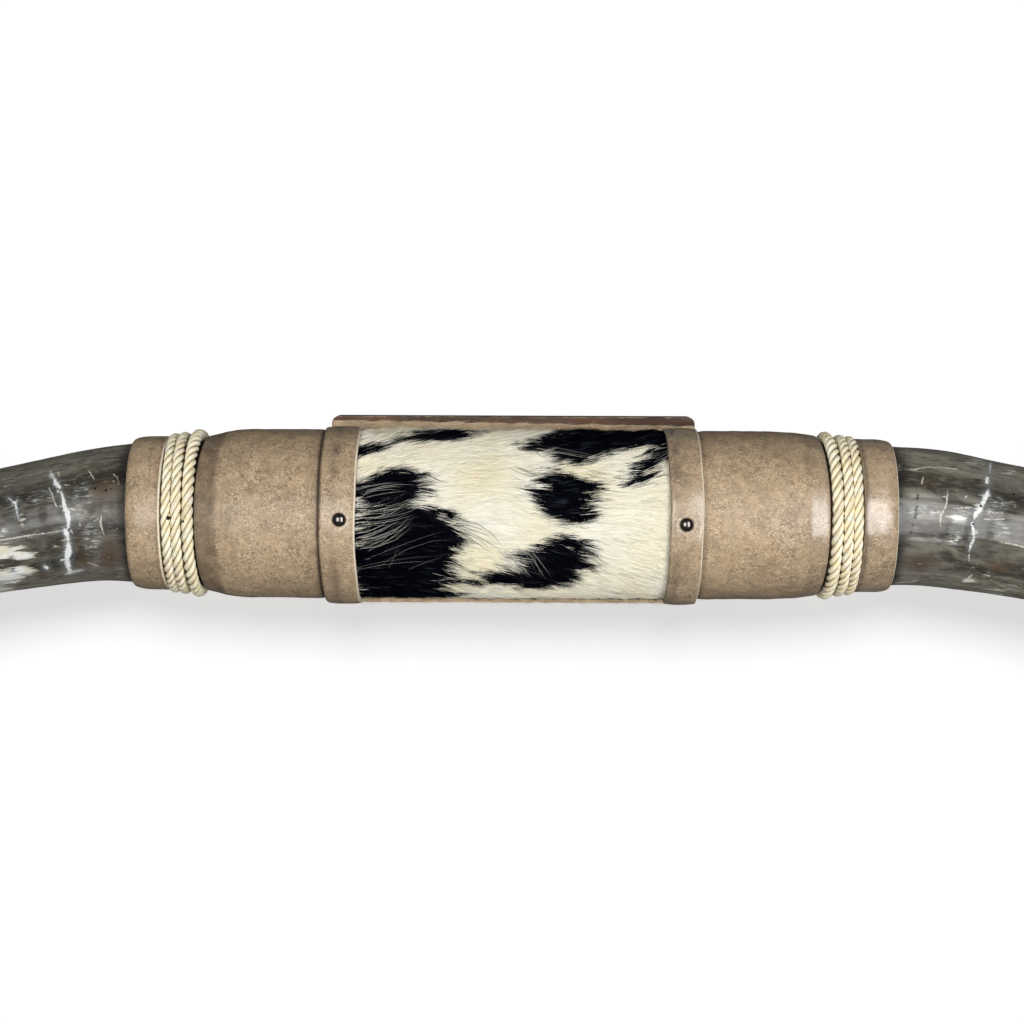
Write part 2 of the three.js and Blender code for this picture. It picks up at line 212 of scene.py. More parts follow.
# Puts points and faces into a mesh object at the origin. `values` are attributes of the points: a number, a
# vector or a colour for each.
def addPiece(name, points, faces, places=None, values=None, closed=True):
    faces = [np.asarray(some) for some in (faces if isinstance(faces, list) else [faces])]
    if places is not None:
        places = places if isinstance(places, list) else [places]
    if closed and signedVolume(points, faces) < 0:
        faces = [some[:, ::-1] for some in faces]
        places = places and [some[:, ::-1] for some in places]
    mesh = bpy.data.meshes.new(name)
    corners = np.concatenate([some.ravel() for some in faces]).astype(np.int32)
    counts = np.concatenate([np.full(len(some), some.shape[1]) for some in faces])
    starts = np.concatenate([[0], np.cumsum(counts)[:-1]]).astype(np.int32)
    mesh.vertices.add(len(points))
    mesh.vertices.foreach_set("co", toFrame(points).astype(np.float32).ravel())
    mesh.loops.add(len(corners))
    mesh.loops.foreach_set("vertex_index", corners)
    mesh.polygons.add(len(counts))
    mesh.polygons.foreach_set("loop_start", starts)
    mesh.polygons.foreach_set("use_smooth", np.ones(len(counts), bool))
    if places is not None:
        layer = mesh.uv_layers.new(name="places")
        flatPlaces = np.concatenate([some.reshape(-1, 2) for some in places])
        layer.data.foreach_set("uv", flatPlaces.astype(np.float32).ravel())
    for key, value in (values or {}).items():
        setValues(mesh, key, value)
    mesh.update(calc_edges=True)
    mesh.validate()
    return addObject(name, mesh)


def setValues(mesh, key, value):
    kind, field = ("FLOAT", "value") if value.ndim == 1 else ("FLOAT_VECTOR", "vector")
    if value.ndim == 2 and value.shape[1] == 4:
        kind, field = "FLOAT_COLOR", "color"
    attribute = mesh.attributes.new(key, kind, "POINT")
    attribute.data.foreach_set(field, value.astype(np.float32).ravel())


# Gives a piece its finish and its body, and hides the nodes that it stands for.
def finishPiece(piece, material, slot, *nodes):
    piece.data.materials.clear()
    piece.data.materials.append(material)
    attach(piece, "root")
    if nodes:
        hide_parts(*nodes)
    return piece


# A closed outline through corners of (across, out, cut, edge). Each corner becomes a curve that leaves and
# joins its sides `cut` away from it, the sides are divided at `step`, and `edge` is the raw-edge share of the
# side that follows the corner. Gives across, out and edge for each point.
def rounded(corners, step=0.9, curvePoints=5):
    corners = np.array(corners, float)
    around, t = [], np.linspace(0, 1, curvePoints)[:, None]
    for i, corner in enumerate(corners):
        before, after = corners[i - 1], corners[(i + 1) % len(corners)]
        ends = []
        for other in (before, after):
            side = other[:2] - corner[:2]
            length = np.linalg.norm(side)
            ends.append(corner[:2] + side * min(corner[2] / length, 0.49))
        curve = (1 - t) ** 2 * ends[0] + 2 * t * (1 - t) * corner[:2] + t ** 2 * ends[1]
        around.append(np.column_stack([curve, before[3] + t * (corner[3] - before[3])]))
    outline = []
    for i, curve in enumerate(around):
        after = around[(i + 1) % len(around)]
        outline.append(curve)
        count = int(np.linalg.norm(after[0, :2] - curve[-1, :2]) / step)
        share = np.linspace(0, 1, count + 2)[1:-1, None]
        outline.append(curve[-1] + share * (after[0] - curve[-1]))
    return np.concatenate(outline)


# Hair and fibres: flat tapering ribbons. `lines` has four points a strand, `halfWidths` its half-widths
# there, and `facing` the way that its flat side faces. Its two sides meet in a tip.
def ribbons(lines, halfWidths, facing):
    count = len(lines)
    along = np.gradient(lines, axis=1)
    sideways = np.cross(along, facing[:, None])
    sideways /= np.linalg.norm(sideways, axis=-1, keepdims=True) + 1e-9
    spread = sideways[:, :3] * halfWidths[:, :3, None]
    points = np.concatenate([lines[:, :3] - spread, lines[:, :3] + spread, lines[:, 3:]], 1)
    base = np.arange(count)[:, None] * 7
    quads = np.concatenate([base + [0, 3, 4, 1], base + [1, 4, 5, 2]])
    tips = base + [2, 5, 6]
    return points.reshape(-1, 3), [quads, tips]


# Shader nodes

# A colour as nodes take it, from its red, green and blue on a screen, 0 to 255.
def linear(*colour):
    return tuple(v / 255 / 12.92 if v < 10.3 else ((v / 255 + 0.055) / 1.055) ** 2.4 for v in colour) + (1,)


# Adds a node. Inputs by name or number take a value or another node's output.
def node(tree, kind, inputs=None, **settings):
    made = tree.nodes.new("ShaderNode" + kind)
    for key, value in settings.items():
        setattr(made, key, value)
    for key, value in (inputs or {}).items():
        if isinstance(value, bpy.types.NodeSocket):
            tree.links.new(value, made.inputs[key])
        else:
            made.inputs[key].default_value = value
    return made


def calc(tree, operation, first, second=0.5, third=0.5):
    return node(tree, "Math", {0: first, 1: second, 2: third}, operation=operation).outputs[0]


def plus(tree, first, second):
    return calc(tree, "ADD", first, second)


def minus(tree, first, second):
    return calc(tree, "SUBTRACT", first, second)


def times(tree, first, second):
    return calc(tree, "MULTIPLY", first, second)


# How far a noise is above its middle value, times an amount.
def swing(tree, value, amount):
    return times(tree, minus(tree, value, 0.5), amount)


def parts(tree, vector):
    return node(tree, "SeparateXYZ", {0: vector}).outputs


def noise(tree, vector, scale, detail=3.0, rough=0.55, warp=0.0):
    inputs = {"Vector": vector, "Scale": scale, "Detail": detail, "Roughness": rough, "Distortion": warp}
    return node(tree, "TexNoise", inputs).outputs["Fac"]


# Takes a value from one range to another, by a smooth step or a straight line.
def remap(tree, value, low, high, toLow=0.0, toHigh=1.0, smooth=True):
    inputs = {"Value": value, "From Min": low, "From Max": high, "To Min": toLow, "To Max": toHigh}
    kind = "SMOOTHSTEP" if smooth else "LINEAR"
    return node(tree, "MapRange", inputs, interpolation_type=kind).outputs["Result"]


def blend(tree, share, first, second):
    made = node(tree, "Mix", data_type="RGBA")
    for index, value in ((0, share), (6, first), (7, second)):
        if isinstance(value, bpy.types.NodeSocket):
            tree.links.new(value, made.inputs[index])
        else:
            made.inputs[index].default_value = value
    return made.outputs[2]


def ramp(tree, value, *stops):
    made = node(tree, "ValToRGB", {"Fac": value})
    elements = made.color_ramp.elements
    elements[0].position, elements[0].color = stops[0]
    elements[1].position, elements[1].color = stops[-1]
    for place, colour in stops[1:-1]:
        elements.new(place).color = colour
    return made.outputs["Color"]


def stretch(tree, vector, x, y, z):
    return node(tree, "Mapping", {"Vector": vector, "Scale": (x, y, z)}).outputs["Vector"]


def bump(tree, height, strength, distance):
    inputs = {"Height": height, "Strength": strength, "Distance": distance}
    return node(tree, "Bump", inputs).outputs["Normal"]


def objectPlace(tree):
    return node(tree, "TexCoord").outputs["Object"]


def pointValue(tree, key, output="Fac"):
    return node(tree, "Attribute", attribute_name=key).outputs[output]


# A node group with named inputs and outputs. `fill` gets its tree and inputs, and gives its outputs in order.
def makeGroup(name, inputs, outputs, fill):
    tree = bpy.data.node_groups.new(name, "ShaderNodeTree")
    for key, kind, value in inputs:
        socket = tree.interface.new_socket(name=key, in_out="INPUT", socket_type="NodeSocket" + kind)
        if value is not None:
            socket.default_value = value
    for key, kind in outputs:
        tree.interface.new_socket(name=key, in_out="OUTPUT", socket_type="NodeSocket" + kind)
    entry = tree.nodes.new("NodeGroupInput")
    leave = tree.nodes.new("NodeGroupOutput")
    for i, result in enumerate(fill(tree, entry.outputs)):
        tree.links.new(result, leave.inputs[i])
    return tree


def useGroup(tree, group, **inputs):
    return node(tree, "Group", inputs, node_tree=group).outputs


# Broad, middle and fine unevenness of colour, each from 0 to 1, for a surface of the given grain size.
def fillMottle(tree, given):
    broad = noise(tree, given["Place"], given["Broad"], 4, 0.6, 0.6)
    middle = noise(tree, given["Place"], given["Middle"], 5, 0.65, 0.3)
    fine = noise(tree, given["Place"], given["Fine"], 2, 0.6)
    return [remap(tree, broad, 0.36, 0.64), remap(tree, middle, 0.33, 0.67), remap(tree, fine, 0.3, 0.7)]


# Short, thin, wandering lines: where a warped noise passes its middle value, in some places only.
def fillHairlines(tree, given):
    wander = noise(tree, given["Place"], given["Size"], 2, 0.5, 1.2)
    off = calc(tree, "ABSOLUTE", minus(tree, wander, 0.5))
    line = remap(tree, off, 0.0, given["Width"], 1.0, 0.0)
    where = noise(tree, given["Place"], times(tree, given["Size"], 0.45), 2, 0.5)
    few = remap(tree, where, minus(tree, 0.66, given["Amount"]), 0.7)
    return [times(tree, line, few)]


# Pores and creases, as a height: small cells, drawn together into a web of shallow folds.
def fillGrain(tree, given):
    warped = node(tree, "Mix", {0: 0.0006}, data_type="VECTOR")
    tree.links.new(given["Place"], warped.inputs[4])
    shake = node(tree, "TexNoise", {"Vector": given["Place"], "Scale": 300.0, "Detail": 3.0})
    tree.links.new(shake.outputs["Color"], warped.inputs[5])
    cells = node(tree, "TexVoronoi", {"Vector": warped.outputs[1], "Scale": given["Size"]}, feature="F1")
    webSize = times(tree, given["Size"], 0.3)
    webs = node(tree, "TexVoronoi", {"Vector": warped.outputs[1], "Scale": webSize},
                feature="DISTANCE_TO_EDGE")
    pores = remap(tree, cells.outputs["Distance"], 0.05, 0.5)
    folds = remap(tree, webs.outputs["Distance"], 0.0, 0.16)
    both = plus(tree, times(tree, pores, 0.6), times(tree, folds, 0.4))
    return [both]


# Where an edge is worn: the edge value, broken up by noise.
def fillWear(tree, given):
    breakUp = noise(tree, given["Place"], given["Size"], 4, 0.7)
    total = plus(tree, given["Edge"], swing(tree, breakUp, 1.2))
    return [remap(tree, total, 0.35, 0.75)]


mottle = makeGroup(
    "mottle",
    [("Place", "Vector", None), ("Broad", "Float", 30.0), ("Middle", "Float", 150.0),
     ("Fine", "Float", 1200.0)],
    [("Broad", "Float"), ("Middle", "Float"), ("Fine", "Float")],
    fillMottle,
)
hairlines = makeGroup(
    "hairlines",
    [("Place", "Vector", None), ("Size", "Float", 120.0), ("Width", "Float", 0.01), ("Amount", "Float", 0.1)],
    [("Mask", "Float")],
    fillHairlines,
)
grain = makeGroup(
    "grain",
    [("Place", "Vector", None), ("Size", "Float", 1500.0)],
    [("Height", "Float")],
    fillGrain,
)
wear = makeGroup(
    "wear",
    [("Place", "Vector", None), ("Edge", "Float", 0.0), ("Size", "Float", 300.0)],
    [("Mask", "Float")],
    fillWear,
)


def emptyMaterial(name):
    material = bpy.data.materials.new(name)
    material.use_nodes = True
    material.node_tree.nodes.clear()
    return material


# A material whose shader's plain sockets are set here; `paint` links what changes over the surface.
def makeMaterial(name, paint, **plain):
    material = emptyMaterial(name)
    tree = material.node_tree
    shader = node(tree, "BsdfPrincipled", {key.replace("_", " "): value for key, value in plain.items()})
    node(tree, "OutputMaterial", {"Surface": shader.outputs[0]}, is_active_output=True)
    for key, value in paint(tree).items():
        tree.links.new(value, shader.inputs[key.replace("_", " ")])
    return material


# Leather: taupe, blotched pink-beige and grey-brown, speckled, with pale raw edges.
leatherLook = {
    "base": linear(182, 159, 129),
    "dark": linear(154, 134, 106),
    "warm": linear(195, 167, 135),
    "rust": linear(142, 111, 83),
    "edge": linear(238, 225, 202),
    "ridge": linear(220, 199, 167),
    "speckle": linear(104, 85, 66),
    # stain is mostly the colour of painted shade, and gap the colour of the painted shade in a gap
    "stain": linear(104, 89, 73),
    "gap": linear(40, 31, 24),
}


def paintLeather(tree):
    look = leatherLook
    place = objectPlace(tree)
    patches = useGroup(tree, mottle, Place=place, Broad=24.0, Middle=110.0, Fine=1500.0)
    edge = useGroup(tree, wear, Place=place, Edge=pointValue(tree, "edge"), Size=700.0)["Mask"]
    colour = blend(tree, patches["Broad"], look["dark"], look["base"])
    colour = blend(tree, times(tree, patches["Middle"], 0.7), colour, look["warm"])
    rustAt = remap(tree, noise(tree, place, 55.0, 6, 0.7, 1.2), 0.56, 0.74, 0.0, 0.4)
    colour = blend(tree, rustAt, colour, look["rust"])
    # fine crinkles, in patches: pale ridges, dark valleys and thin creases, and a dusting of darker specks
    crinkle = noise(tree, stretch(tree, place, 1, 1, 1.3), 450.0, 2, 0.6, 1.8)
    crinkled = remap(tree, noise(tree, place, 60.0, 3, 0.6), 0.38, 0.62, 0.45, 1.0)
    cloudy = remap(tree, noise(tree, place, 130.0, 5, 0.7, 0.5), 0.36, 0.66, 0.83, 1.09)
    colour = node(tree, "VectorMath", {0: colour, 1: cloudy}, operation="MULTIPLY").outputs[0]
    ridgeAt = times(tree, remap(tree, crinkle, 0.49, 0.64, 0.0, 0.75), crinkled)
    colour = blend(tree, ridgeAt, colour, look["ridge"])
    valleyAt = times(tree, remap(tree, crinkle, 0.48, 0.33, 0.0, 0.75), crinkled)
    colour = blend(tree, valleyAt, colour, look["speckle"])
    creases = noise(tree, place, 250.0, 2, 0.6, 1.3)
    creaseAt = remap(tree, calc(tree, "ABSOLUTE", minus(tree, creases, 0.5)), 0.0, 0.026, 0.75, 0.0)
    colour = blend(tree, times(tree, creaseAt, crinkled), colour, look["speckle"])
    specks = remap(tree, noise(tree, place, 1100.0, 3, 0.75), 0.56, 0.7, 0.0, 0.55)
    colour = blend(tree, specks, colour, look["speckle"])
    scuffs = useGroup(tree, hairlines, Place=stretch(tree, place, 1, 1, 0.5), Size=210.0, Width=0.012,
                      Amount=0.12)["Mask"]
    colour = blend(tree, times(tree, scuffs, 0.35), colour, look["edge"])
    # a darkening of 1 is mostly painted shade, and of 2 the deeper painted shade of a gap
    darkening = pointValue(tree, "stain")
    dirt = calc(tree, "MINIMUM", darkening, 1.0)
    darkenAt = times(tree, dirt, remap(tree, patches["Middle"], 0.0, 1.0, 1.0, 0.6, False))
    colour = blend(tree, darkenAt, colour, look["stain"])
    gapAt = remap(tree, darkening, 1.0, 1.8)
    colour = blend(tree, gapAt, colour, look["gap"])
    colour = blend(tree, edge, colour, look["edge"])
    skin = useGroup(tree, grain, Place=place, Size=1100.0)
    height = plus(tree, times(tree, skin["Height"], 0.6), times(tree, patches["Middle"], 0.6))
    height = plus(tree, height, times(tree, crinkle, times(tree, crinkled, 2.4)))
    height = minus(tree, height, times(tree, creaseAt, 0.5))
    rough = plus(tree, remap(tree, patches["Broad"], 0.0, 1.0, 0.36, 0.46, False), times(tree, specks, 0.2))
    # rubbed places shine, and gaps are dull
    coated = calc(tree, "MULTIPLY_ADD", pointValue(tree, "shine"), 0.9, 0.06)
    coated = times(tree, coated, minus(tree, 1.0, gapAt))
    rough = plus(tree, rough, times(tree, gapAt, 0.4))
    return {"Base_Color": colour, "Roughness": rough, "Coat_Weight": coated,
            "Normal": bump(tree, height, 0.4, 0.00025)}


leather = makeMaterial("leather", paintLeather, Specular_IOR_Level=0.4, Coat_Roughness=0.26, Coat_IOR=1.8)

# Polished horn: grey marbling drawn out along the horn, brown by the cuff, with cracks, scratches and pits.
hornLook = {
    "dark": linear(40, 37, 30),
    "grey": linear(69, 66, 58),
    "pale": linear(124, 119, 107),
    # rim is a painted sheen along the top and bottom of the horn, over its own paler streaks there
    "rim": linear(146, 140, 124),
    "smoke": linear(90, 87, 88),
    "shade": linear(24, 21, 17),
    "halo": linear(120, 128, 133),
    "cream": linear(203, 193, 170),
    "tip": linear(38, 34, 31),
    "brown": linear(84, 65, 47),
    "white": linear(236, 239, 236),
    "chalk": linear(226, 219, 198),
    "scratch": linear(226, 221, 205),
    "pit": linear(24, 17, 13),
    # where along the horn, in millimetres, the painted shade beside the cuff ends and where cream and the
    # dark tip come in
    "dirtAt": (47, 57), "creamAt": (200, 420), "tipAt": (580, 760),
}


def paintHorn(tree):
    look = hornLook
    flow = pointValue(tree, "flow", "Vector")
    drawn = stretch(tree, flow, 1, 1, 0.13)
    apart = parts(tree, flow)
    marks = parts(tree, pointValue(tree, "marks", "Vector"))      # crack, scratch and pit
    tints = parts(tree, pointValue(tree, "tints", "Vector"))      # cloud, brown and hatch
    patches = useGroup(tree, mottle, Place=drawn, Broad=42.0, Middle=170.0, Fine=700.0)
    clouds = noise(tree, stretch(tree, flow, 1, 1, 0.45), 38.0, 6, 0.62, 0.8)
    wisps = noise(tree, stretch(tree, flow, 1, 1, 0.3), 210.0, 5, 0.7, 1.4)
    billow = remap(tree, clouds, 0.36, 0.64)
    mixed = plus(tree, times(tree, patches["Broad"], 0.35), times(tree, billow, 0.65))
    colour = ramp(tree, mixed, (0.12, look["dark"]), (0.5, look["grey"]), (0.95, look["pale"]))
    smokeAt = remap(tree, noise(tree, stretch(tree, flow, 1, 1, 0.5), 24.0, 3, 0.5), 0.45, 0.62, 0.0, 0.6)
    colour = blend(tree, smokeAt, colour, look["smoke"])
    colour = blend(tree, remap(tree, wisps, 0.5, 0.7, 0.0, 0.75), colour, look["pale"])
    colour = blend(tree, remap(tree, wisps, 0.46, 0.3, 0.0, 0.65), colour, look["dark"])
    # painted sheen along the top and bottom of the horn, partly its own paler streaks there
    limbSheenAt = remap(tree, calc(tree, "ABSOLUTE", apart[1]), 0.026, 0.047, 0.0, 0.85)
    limbSheenAt = times(tree, limbSheenAt, remap(tree, wisps, 0.36, 0.58, 0.25, 1.0))
    colour = blend(tree, limbSheenAt, colour, look["rim"])
    # further out the horn pales to streaked cream, and its tip is dark
    outAt = plus(tree, apart[2], swing(tree, clouds, 0.22))
    creamAt = times(tree, remap(tree, outAt, *span(look["creamAt"])),
                    remap(tree, patches["Broad"], -0.3, 0.7))
    colour = blend(tree, creamAt, colour, look["cream"])
    streakAt = remap(tree, noise(tree, stretch(tree, flow, 1, 1, 0.05), 300.0, 3, 0.7), 0.5, 0.66, 0.0, 0.45)
    colour = blend(tree, streakAt, colour, look["grey"])
    tipAt = remap(tree, plus(tree, outAt, times(tree, patches["Middle"], 0.05)), *span(look["tipAt"]))
    colour = blend(tree, tipAt, colour, look["tip"])
    brownAt = times(tree, tints[1], remap(tree, clouds, 0.35, 0.6))
    colour = blend(tree, brownAt, colour, look["brown"])
    # pale bands across the horn, where it was scraped
    bands = noise(tree, stretch(tree, flow, 1, 1, 0.22), 640.0, 3, 0.6, 0.5)
    hatchAt = times(tree, remap(tree, tints[2], 0.0, 0.7), remap(tree, bands, 0.48, 0.66, 0.02, 0.5))
    colour = blend(tree, hatchAt, colour, look["white"])
    ragged = noise(tree, drawn, 420.0, 5, 0.75, 0.4)
    cloudAt = plus(tree, tints[0], swing(tree, ragged, 2.2))
    whiteAt = remap(tree, cloudAt, 0.3, 0.62, 0.0, 0.97)
    chalky = blend(tree, remap(tree, noise(tree, flow, 70.0, 3, 0.6), 0.42, 0.6), look["white"],
                   look["chalk"])
    colour = blend(tree, whiteAt, colour, chalky)
    flecks = noise(tree, stretch(tree, flow, 1, 1, 0.5), 430.0, 4, 0.8)
    flecked = remap(tree, noise(tree, flow, 45.0, 2), 0.48, 0.58)
    fleckAt = times(tree, remap(tree, flecks, 0.63, 0.68, 0.0, 0.75), flecked)
    colour = blend(tree, fleckAt, colour, look["scratch"])
    bits = noise(tree, flow, 900.0, 4, 0.8)
    jagged = swing(tree, bits, 6.5)
    crackAt = remap(tree, plus(tree, marks[0], jagged), 0.35, -0.6)
    haloAt = remap(tree, plus(tree, marks[0], times(tree, jagged, 2.0)), 4.0, 0.0, 0.0, 0.4)
    colour = blend(tree, haloAt, colour, look["halo"])
    colour = blend(tree, times(tree, crackAt, 0.92), colour, look["white"])
    thin = swing(tree, bits, 3.0)
    scratchAt = remap(tree, plus(tree, marks[1], thin), 0.1, -0.2)
    wild = useGroup(tree, hairlines, Place=stretch(tree, flow, 1, 1, 0.7), Size=75.0, Width=0.006,
                    Amount=0.07)["Mask"]
    scratchAt = calc(tree, "MAXIMUM", scratchAt, times(tree, wild, 0.8))
    colour = blend(tree, times(tree, scratchAt, 0.72), colour, look["scratch"])
    pitAt = remap(tree, plus(tree, marks[2], times(tree, thin, 0.25)), 0.25, -0.25)
    colour = blend(tree, pitAt, colour, look["pit"])
    # painted shade against the cuff, where the cuff shades the horn
    besideCuff = plus(tree, apart[2], swing(tree, clouds, 0.012))
    colour = blend(tree, remap(tree, besideCuff, *span(look["dirtAt"]), 0.85, 0.0), colour, look["shade"])
    rough = plus(tree, remap(tree, patches["Middle"], 0.0, 1.0, 0.24, 0.42, False),
                 times(tree, crackAt, 0.25))
    height = plus(tree, times(tree, patches["Middle"], 0.35), times(tree, crackAt, 0.9))
    height = minus(tree, height, times(tree, scratchAt, 0.8))
    height = minus(tree, height, times(tree, pitAt, 3.0))
    return {"Base_Color": colour, "Roughness": rough, "Normal": bump(tree, height, 0.5, 0.0003)}


horn = makeMaterial("horn", paintHorn, Specular_IOR_Level=0.45, IOR=1.54, Coat_Weight=0.3,
                    Coat_Roughness=0.14)


# Rope: pale straw yarns that run along the rope, darkened with painted shade in the grooves between the
# strands.
ropeLook = {"pale": linear(254, 249, 228), "straw": linear(246, 232, 190), "deep": linear(136, 104, 62)}


def paintRope(tree):
    look = ropeLook
    yarn = pointValue(tree, "yarn", "Vector")
    deep = pointValue(tree, "deep")
    fibre = noise(tree, stretch(tree, yarn, 1, 1, 0.12), 2600.0, 3, 0.7)
    broad = noise(tree, objectPlace(tree), 160.0, 3, 0.6)
    wave = noise(tree, stretch(tree, yarn, 1, 1, 0.05), 1100.0, 1, 0.5)
    colour = blend(tree, remap(tree, broad, 0.35, 0.65), look["pale"], look["straw"])
    colour = blend(tree, remap(tree, fibre, 0.5, 0.75, 0.0, 0.55), colour, look["straw"])
    colour = blend(tree, remap(tree, wave, 0.55, 0.7, 0.0, 0.35), colour, look["deep"])
    # painted shade in the grooves between the strands
    colour = blend(tree, remap(tree, deep, 0.45, 1.0, 0.0, 0.92), colour, look["deep"])
    height = plus(tree, wave, times(tree, fibre, 0.6))
    return {"Base_Color": colour, "Normal": bump(tree, height, 0.7, 0.00035)}


rope = makeMaterial("rope", paintRope, Roughness=0.72, Specular_IOR_Level=0.3, Sheen_Weight=0.04)


# Suede: tan, with a nap that lies in soft strokes, and a painted shadow along its lower edge.
suedeLook = {"tan": linear(224, 196, 154), "dark": linear(172, 142, 106), "pale": linear(246, 228, 198),
             "pressed": linear(44, 35, 27), "shadowLineFrom": (-68.7, -67.7), "shadowLineTo": (-30, -50)}


def paintSuede(tree):
    look = suedeLook
    place = objectPlace(tree)
    patches = useGroup(tree, mottle, Place=place, Broad=45.0, Middle=260.0, Fine=1800.0)
    strokes = noise(tree, stretch(tree, place, 0.35, 1, 1), 700.0, 4, 0.7, 0.6)
    colour = blend(tree, patches["Broad"], look["dark"], look["tan"])
    colour = blend(tree, remap(tree, strokes, 0.45, 0.7, 0.0, 0.8), colour, look["pale"])
    colour = blend(tree, times(tree, patches["Middle"], 0.35), colour, look["dark"])
    # painted shadow: a dark, wavering line along its lower edge, under the hide
    apart = parts(tree, place)
    waver = swing(tree, noise(tree, place, 90.0, 3, 0.6), 0.004)
    level = plus(tree, apart[2], waver)
    pressed = times(tree, remap(tree, level, *span(look["shadowLineFrom"]), 0.0, 0.9),
                   remap(tree, level, *span(look["shadowLineTo"])))
    colour = blend(tree, pressed, colour, look["pressed"])
    height = plus(tree, strokes, times(tree, patches["Fine"], 0.5))
    return {"Base_Color": colour, "Normal": bump(tree, height, 0.8, 0.0004)}


suede = makeMaterial("suede", paintSuede, Roughness=0.88, Specular_IOR_Level=0.2, Sheen_Weight=0.25)


# Hair and fibres take their colour from each strand.
def paintStrands(tree):
    return {"Base_Color": pointValue(tree, "tone", "Color")}


hair = makeMaterial("hair", paintStrands, Roughness=0.6, Specular_IOR_Level=0.04)
fibre = makeMaterial("fibre", paintStrands, Roughness=0.75, Specular_IOR_Level=0.2)


# The skin under the hair: the same patches, seen only between strands, and rough at its cut edges.
def paintSkin(tree):
    place = objectPlace(tree)
    patches = useGroup(tree, mottle, Place=place, Broad=60.0, Middle=300.0, Fine=1500.0)
    tone = pointValue(tree, "tone", "Color")
    colour = blend(tree, times(tree, patches["Middle"], 0.3), tone, linear(120, 104, 84))
    return {"Base_Color": colour, "Normal": bump(tree, patches["Fine"], 0.6, 0.0003)}


skin = makeMaterial("hide_skin", paintSkin, Roughness=0.85, Specular_IOR_Level=0.2)


# Back board: stained wood, worn, with redder streaks, and pale where its edges are chipped.
boardLook = {
    "stain": linear(126, 110, 96),
    "dark": linear(72, 58, 50),
    "red": linear(114, 84, 64),
    "rust": linear(108, 70, 45),
    "chip": linear(196, 176, 146),
    "edgeBand": 2.2, "endBand": 4, "seamBand": 3.2,      # widths, in millimetres
}


def paintBoard(tree):
    look = boardLook
    place = objectPlace(tree)
    drawn = stretch(tree, place, 0.12, 1, 1)
    patches = useGroup(tree, mottle, Place=drawn, Broad=120.0, Middle=520.0, Fine=2400.0)
    colour = blend(tree, patches["Broad"], look["dark"], look["stain"])
    colour = blend(tree, times(tree, patches["Middle"], 0.6), colour, look["dark"])
    redAt = remap(tree, noise(tree, stretch(tree, place, 0.2, 1, 1), 60.0, 4, 0.6, 0.5), 0.5, 0.68, 0.0, 0.6)
    colour = blend(tree, redAt, colour, look["red"])
    apart = parts(tree, place)
    # a rusty stain on the front, just above the suede
    seam = calc(tree, "ABSOLUTE", minus(tree, apart[2], facingHigh.z - 0.4 * mm))
    seamAt = remap(tree, seam, 0.0, look["seamBand"] * mm, 0.7, 0.0)
    seamAt = times(tree, seamAt, remap(tree, redAt, 0.0, 0.3, 0.5, 1.0))
    seamAt = times(tree, seamAt, remap(tree, apart[1], facingHigh.y + 1.5 * mm, facingHigh.y + 0.5 * mm))
    colour = blend(tree, seamAt, colour, look["rust"])
    top = boardHigh.z - look["edgeBand"] * mm
    nearTop = remap(tree, calc(tree, "ABSOLUTE", apart[2]), top, boardHigh.z, 0.0, 0.5)
    end = boardHigh.x - look["endBand"] * mm
    nearEnd = remap(tree, calc(tree, "ABSOLUTE", apart[0]), end, boardHigh.x, 0.0, 0.45)
    rim = calc(tree, "MAXIMUM", nearTop, nearEnd)
    chips = useGroup(tree, wear, Place=stretch(tree, place, 0.5, 1, 1), Edge=rim, Size=230.0)
    colour = blend(tree, times(tree, chips["Mask"], 0.8), colour, look["chip"])
    height = minus(tree, patches["Middle"], times(tree, chips["Mask"], 0.8))
    rough = remap(tree, patches["Fine"], 0.0, 1.0, 0.5, 0.75, False)
    return {"Base_Color": colour, "Roughness": rough, "Normal": bump(tree, height, 0.6, 0.0004)}


boardWood = makeMaterial("board_wood", paintBoard, Specular_IOR_Level=0.35)


# Turned core: bare softwood with its grain along X.
def paintCore(tree):
    place = stretch(tree, objectPlace(tree), 0.08, 1, 1)
    patches = useGroup(tree, mottle, Place=place, Broad=90.0, Middle=500.0, Fine=2000.0)
    colour = blend(tree, patches["Broad"], linear(186, 143, 94), linear(206, 170, 122))
    colour = blend(tree, times(tree, patches["Middle"], 0.5), colour, linear(150, 106, 62))
    return {"Base_Color": colour, "Normal": bump(tree, patches["Middle"], 0.4, 0.0003)}


coreWood = makeMaterial("core_wood", paintCore, Roughness=0.65)


# Black nickel studs, faintly smudged, and zinc-plated fixings, brushed and dulled.
def paintStud(tree):
    patches = useGroup(tree, mottle, Place=objectPlace(tree), Broad=220.0, Middle=900.0, Fine=4000.0)
    colour = blend(tree, patches["Middle"], linear(112, 108, 105), linear(128, 123, 119))
    rough = remap(tree, patches["Broad"], 0.0, 1.0, 0.14, 0.21, False)
    return {"Base_Color": colour, "Roughness": rough, "Normal": bump(tree, patches["Fine"], 0.1, 0.00005)}


def paintSteel(tree):
    place = objectPlace(tree)
    patches = useGroup(tree, mottle, Place=stretch(tree, place, 1, 1, 0.15), Broad=200.0, Middle=1500.0,
                       Fine=5000.0)
    colour = blend(tree, patches["Broad"], linear(172, 171, 166), linear(198, 197, 192))
    stain = remap(tree, noise(tree, place, 350.0, 4, 0.7), 0.58, 0.75, 0.0, 0.6)
    colour = blend(tree, stain, colour, linear(122, 112, 96))
    rough = remap(tree, patches["Middle"], 0.0, 1.0, 0.28, 0.46, False)
    return {"Base_Color": colour, "Roughness": rough, "Normal": bump(tree, patches["Middle"], 0.25, 0.0001)}


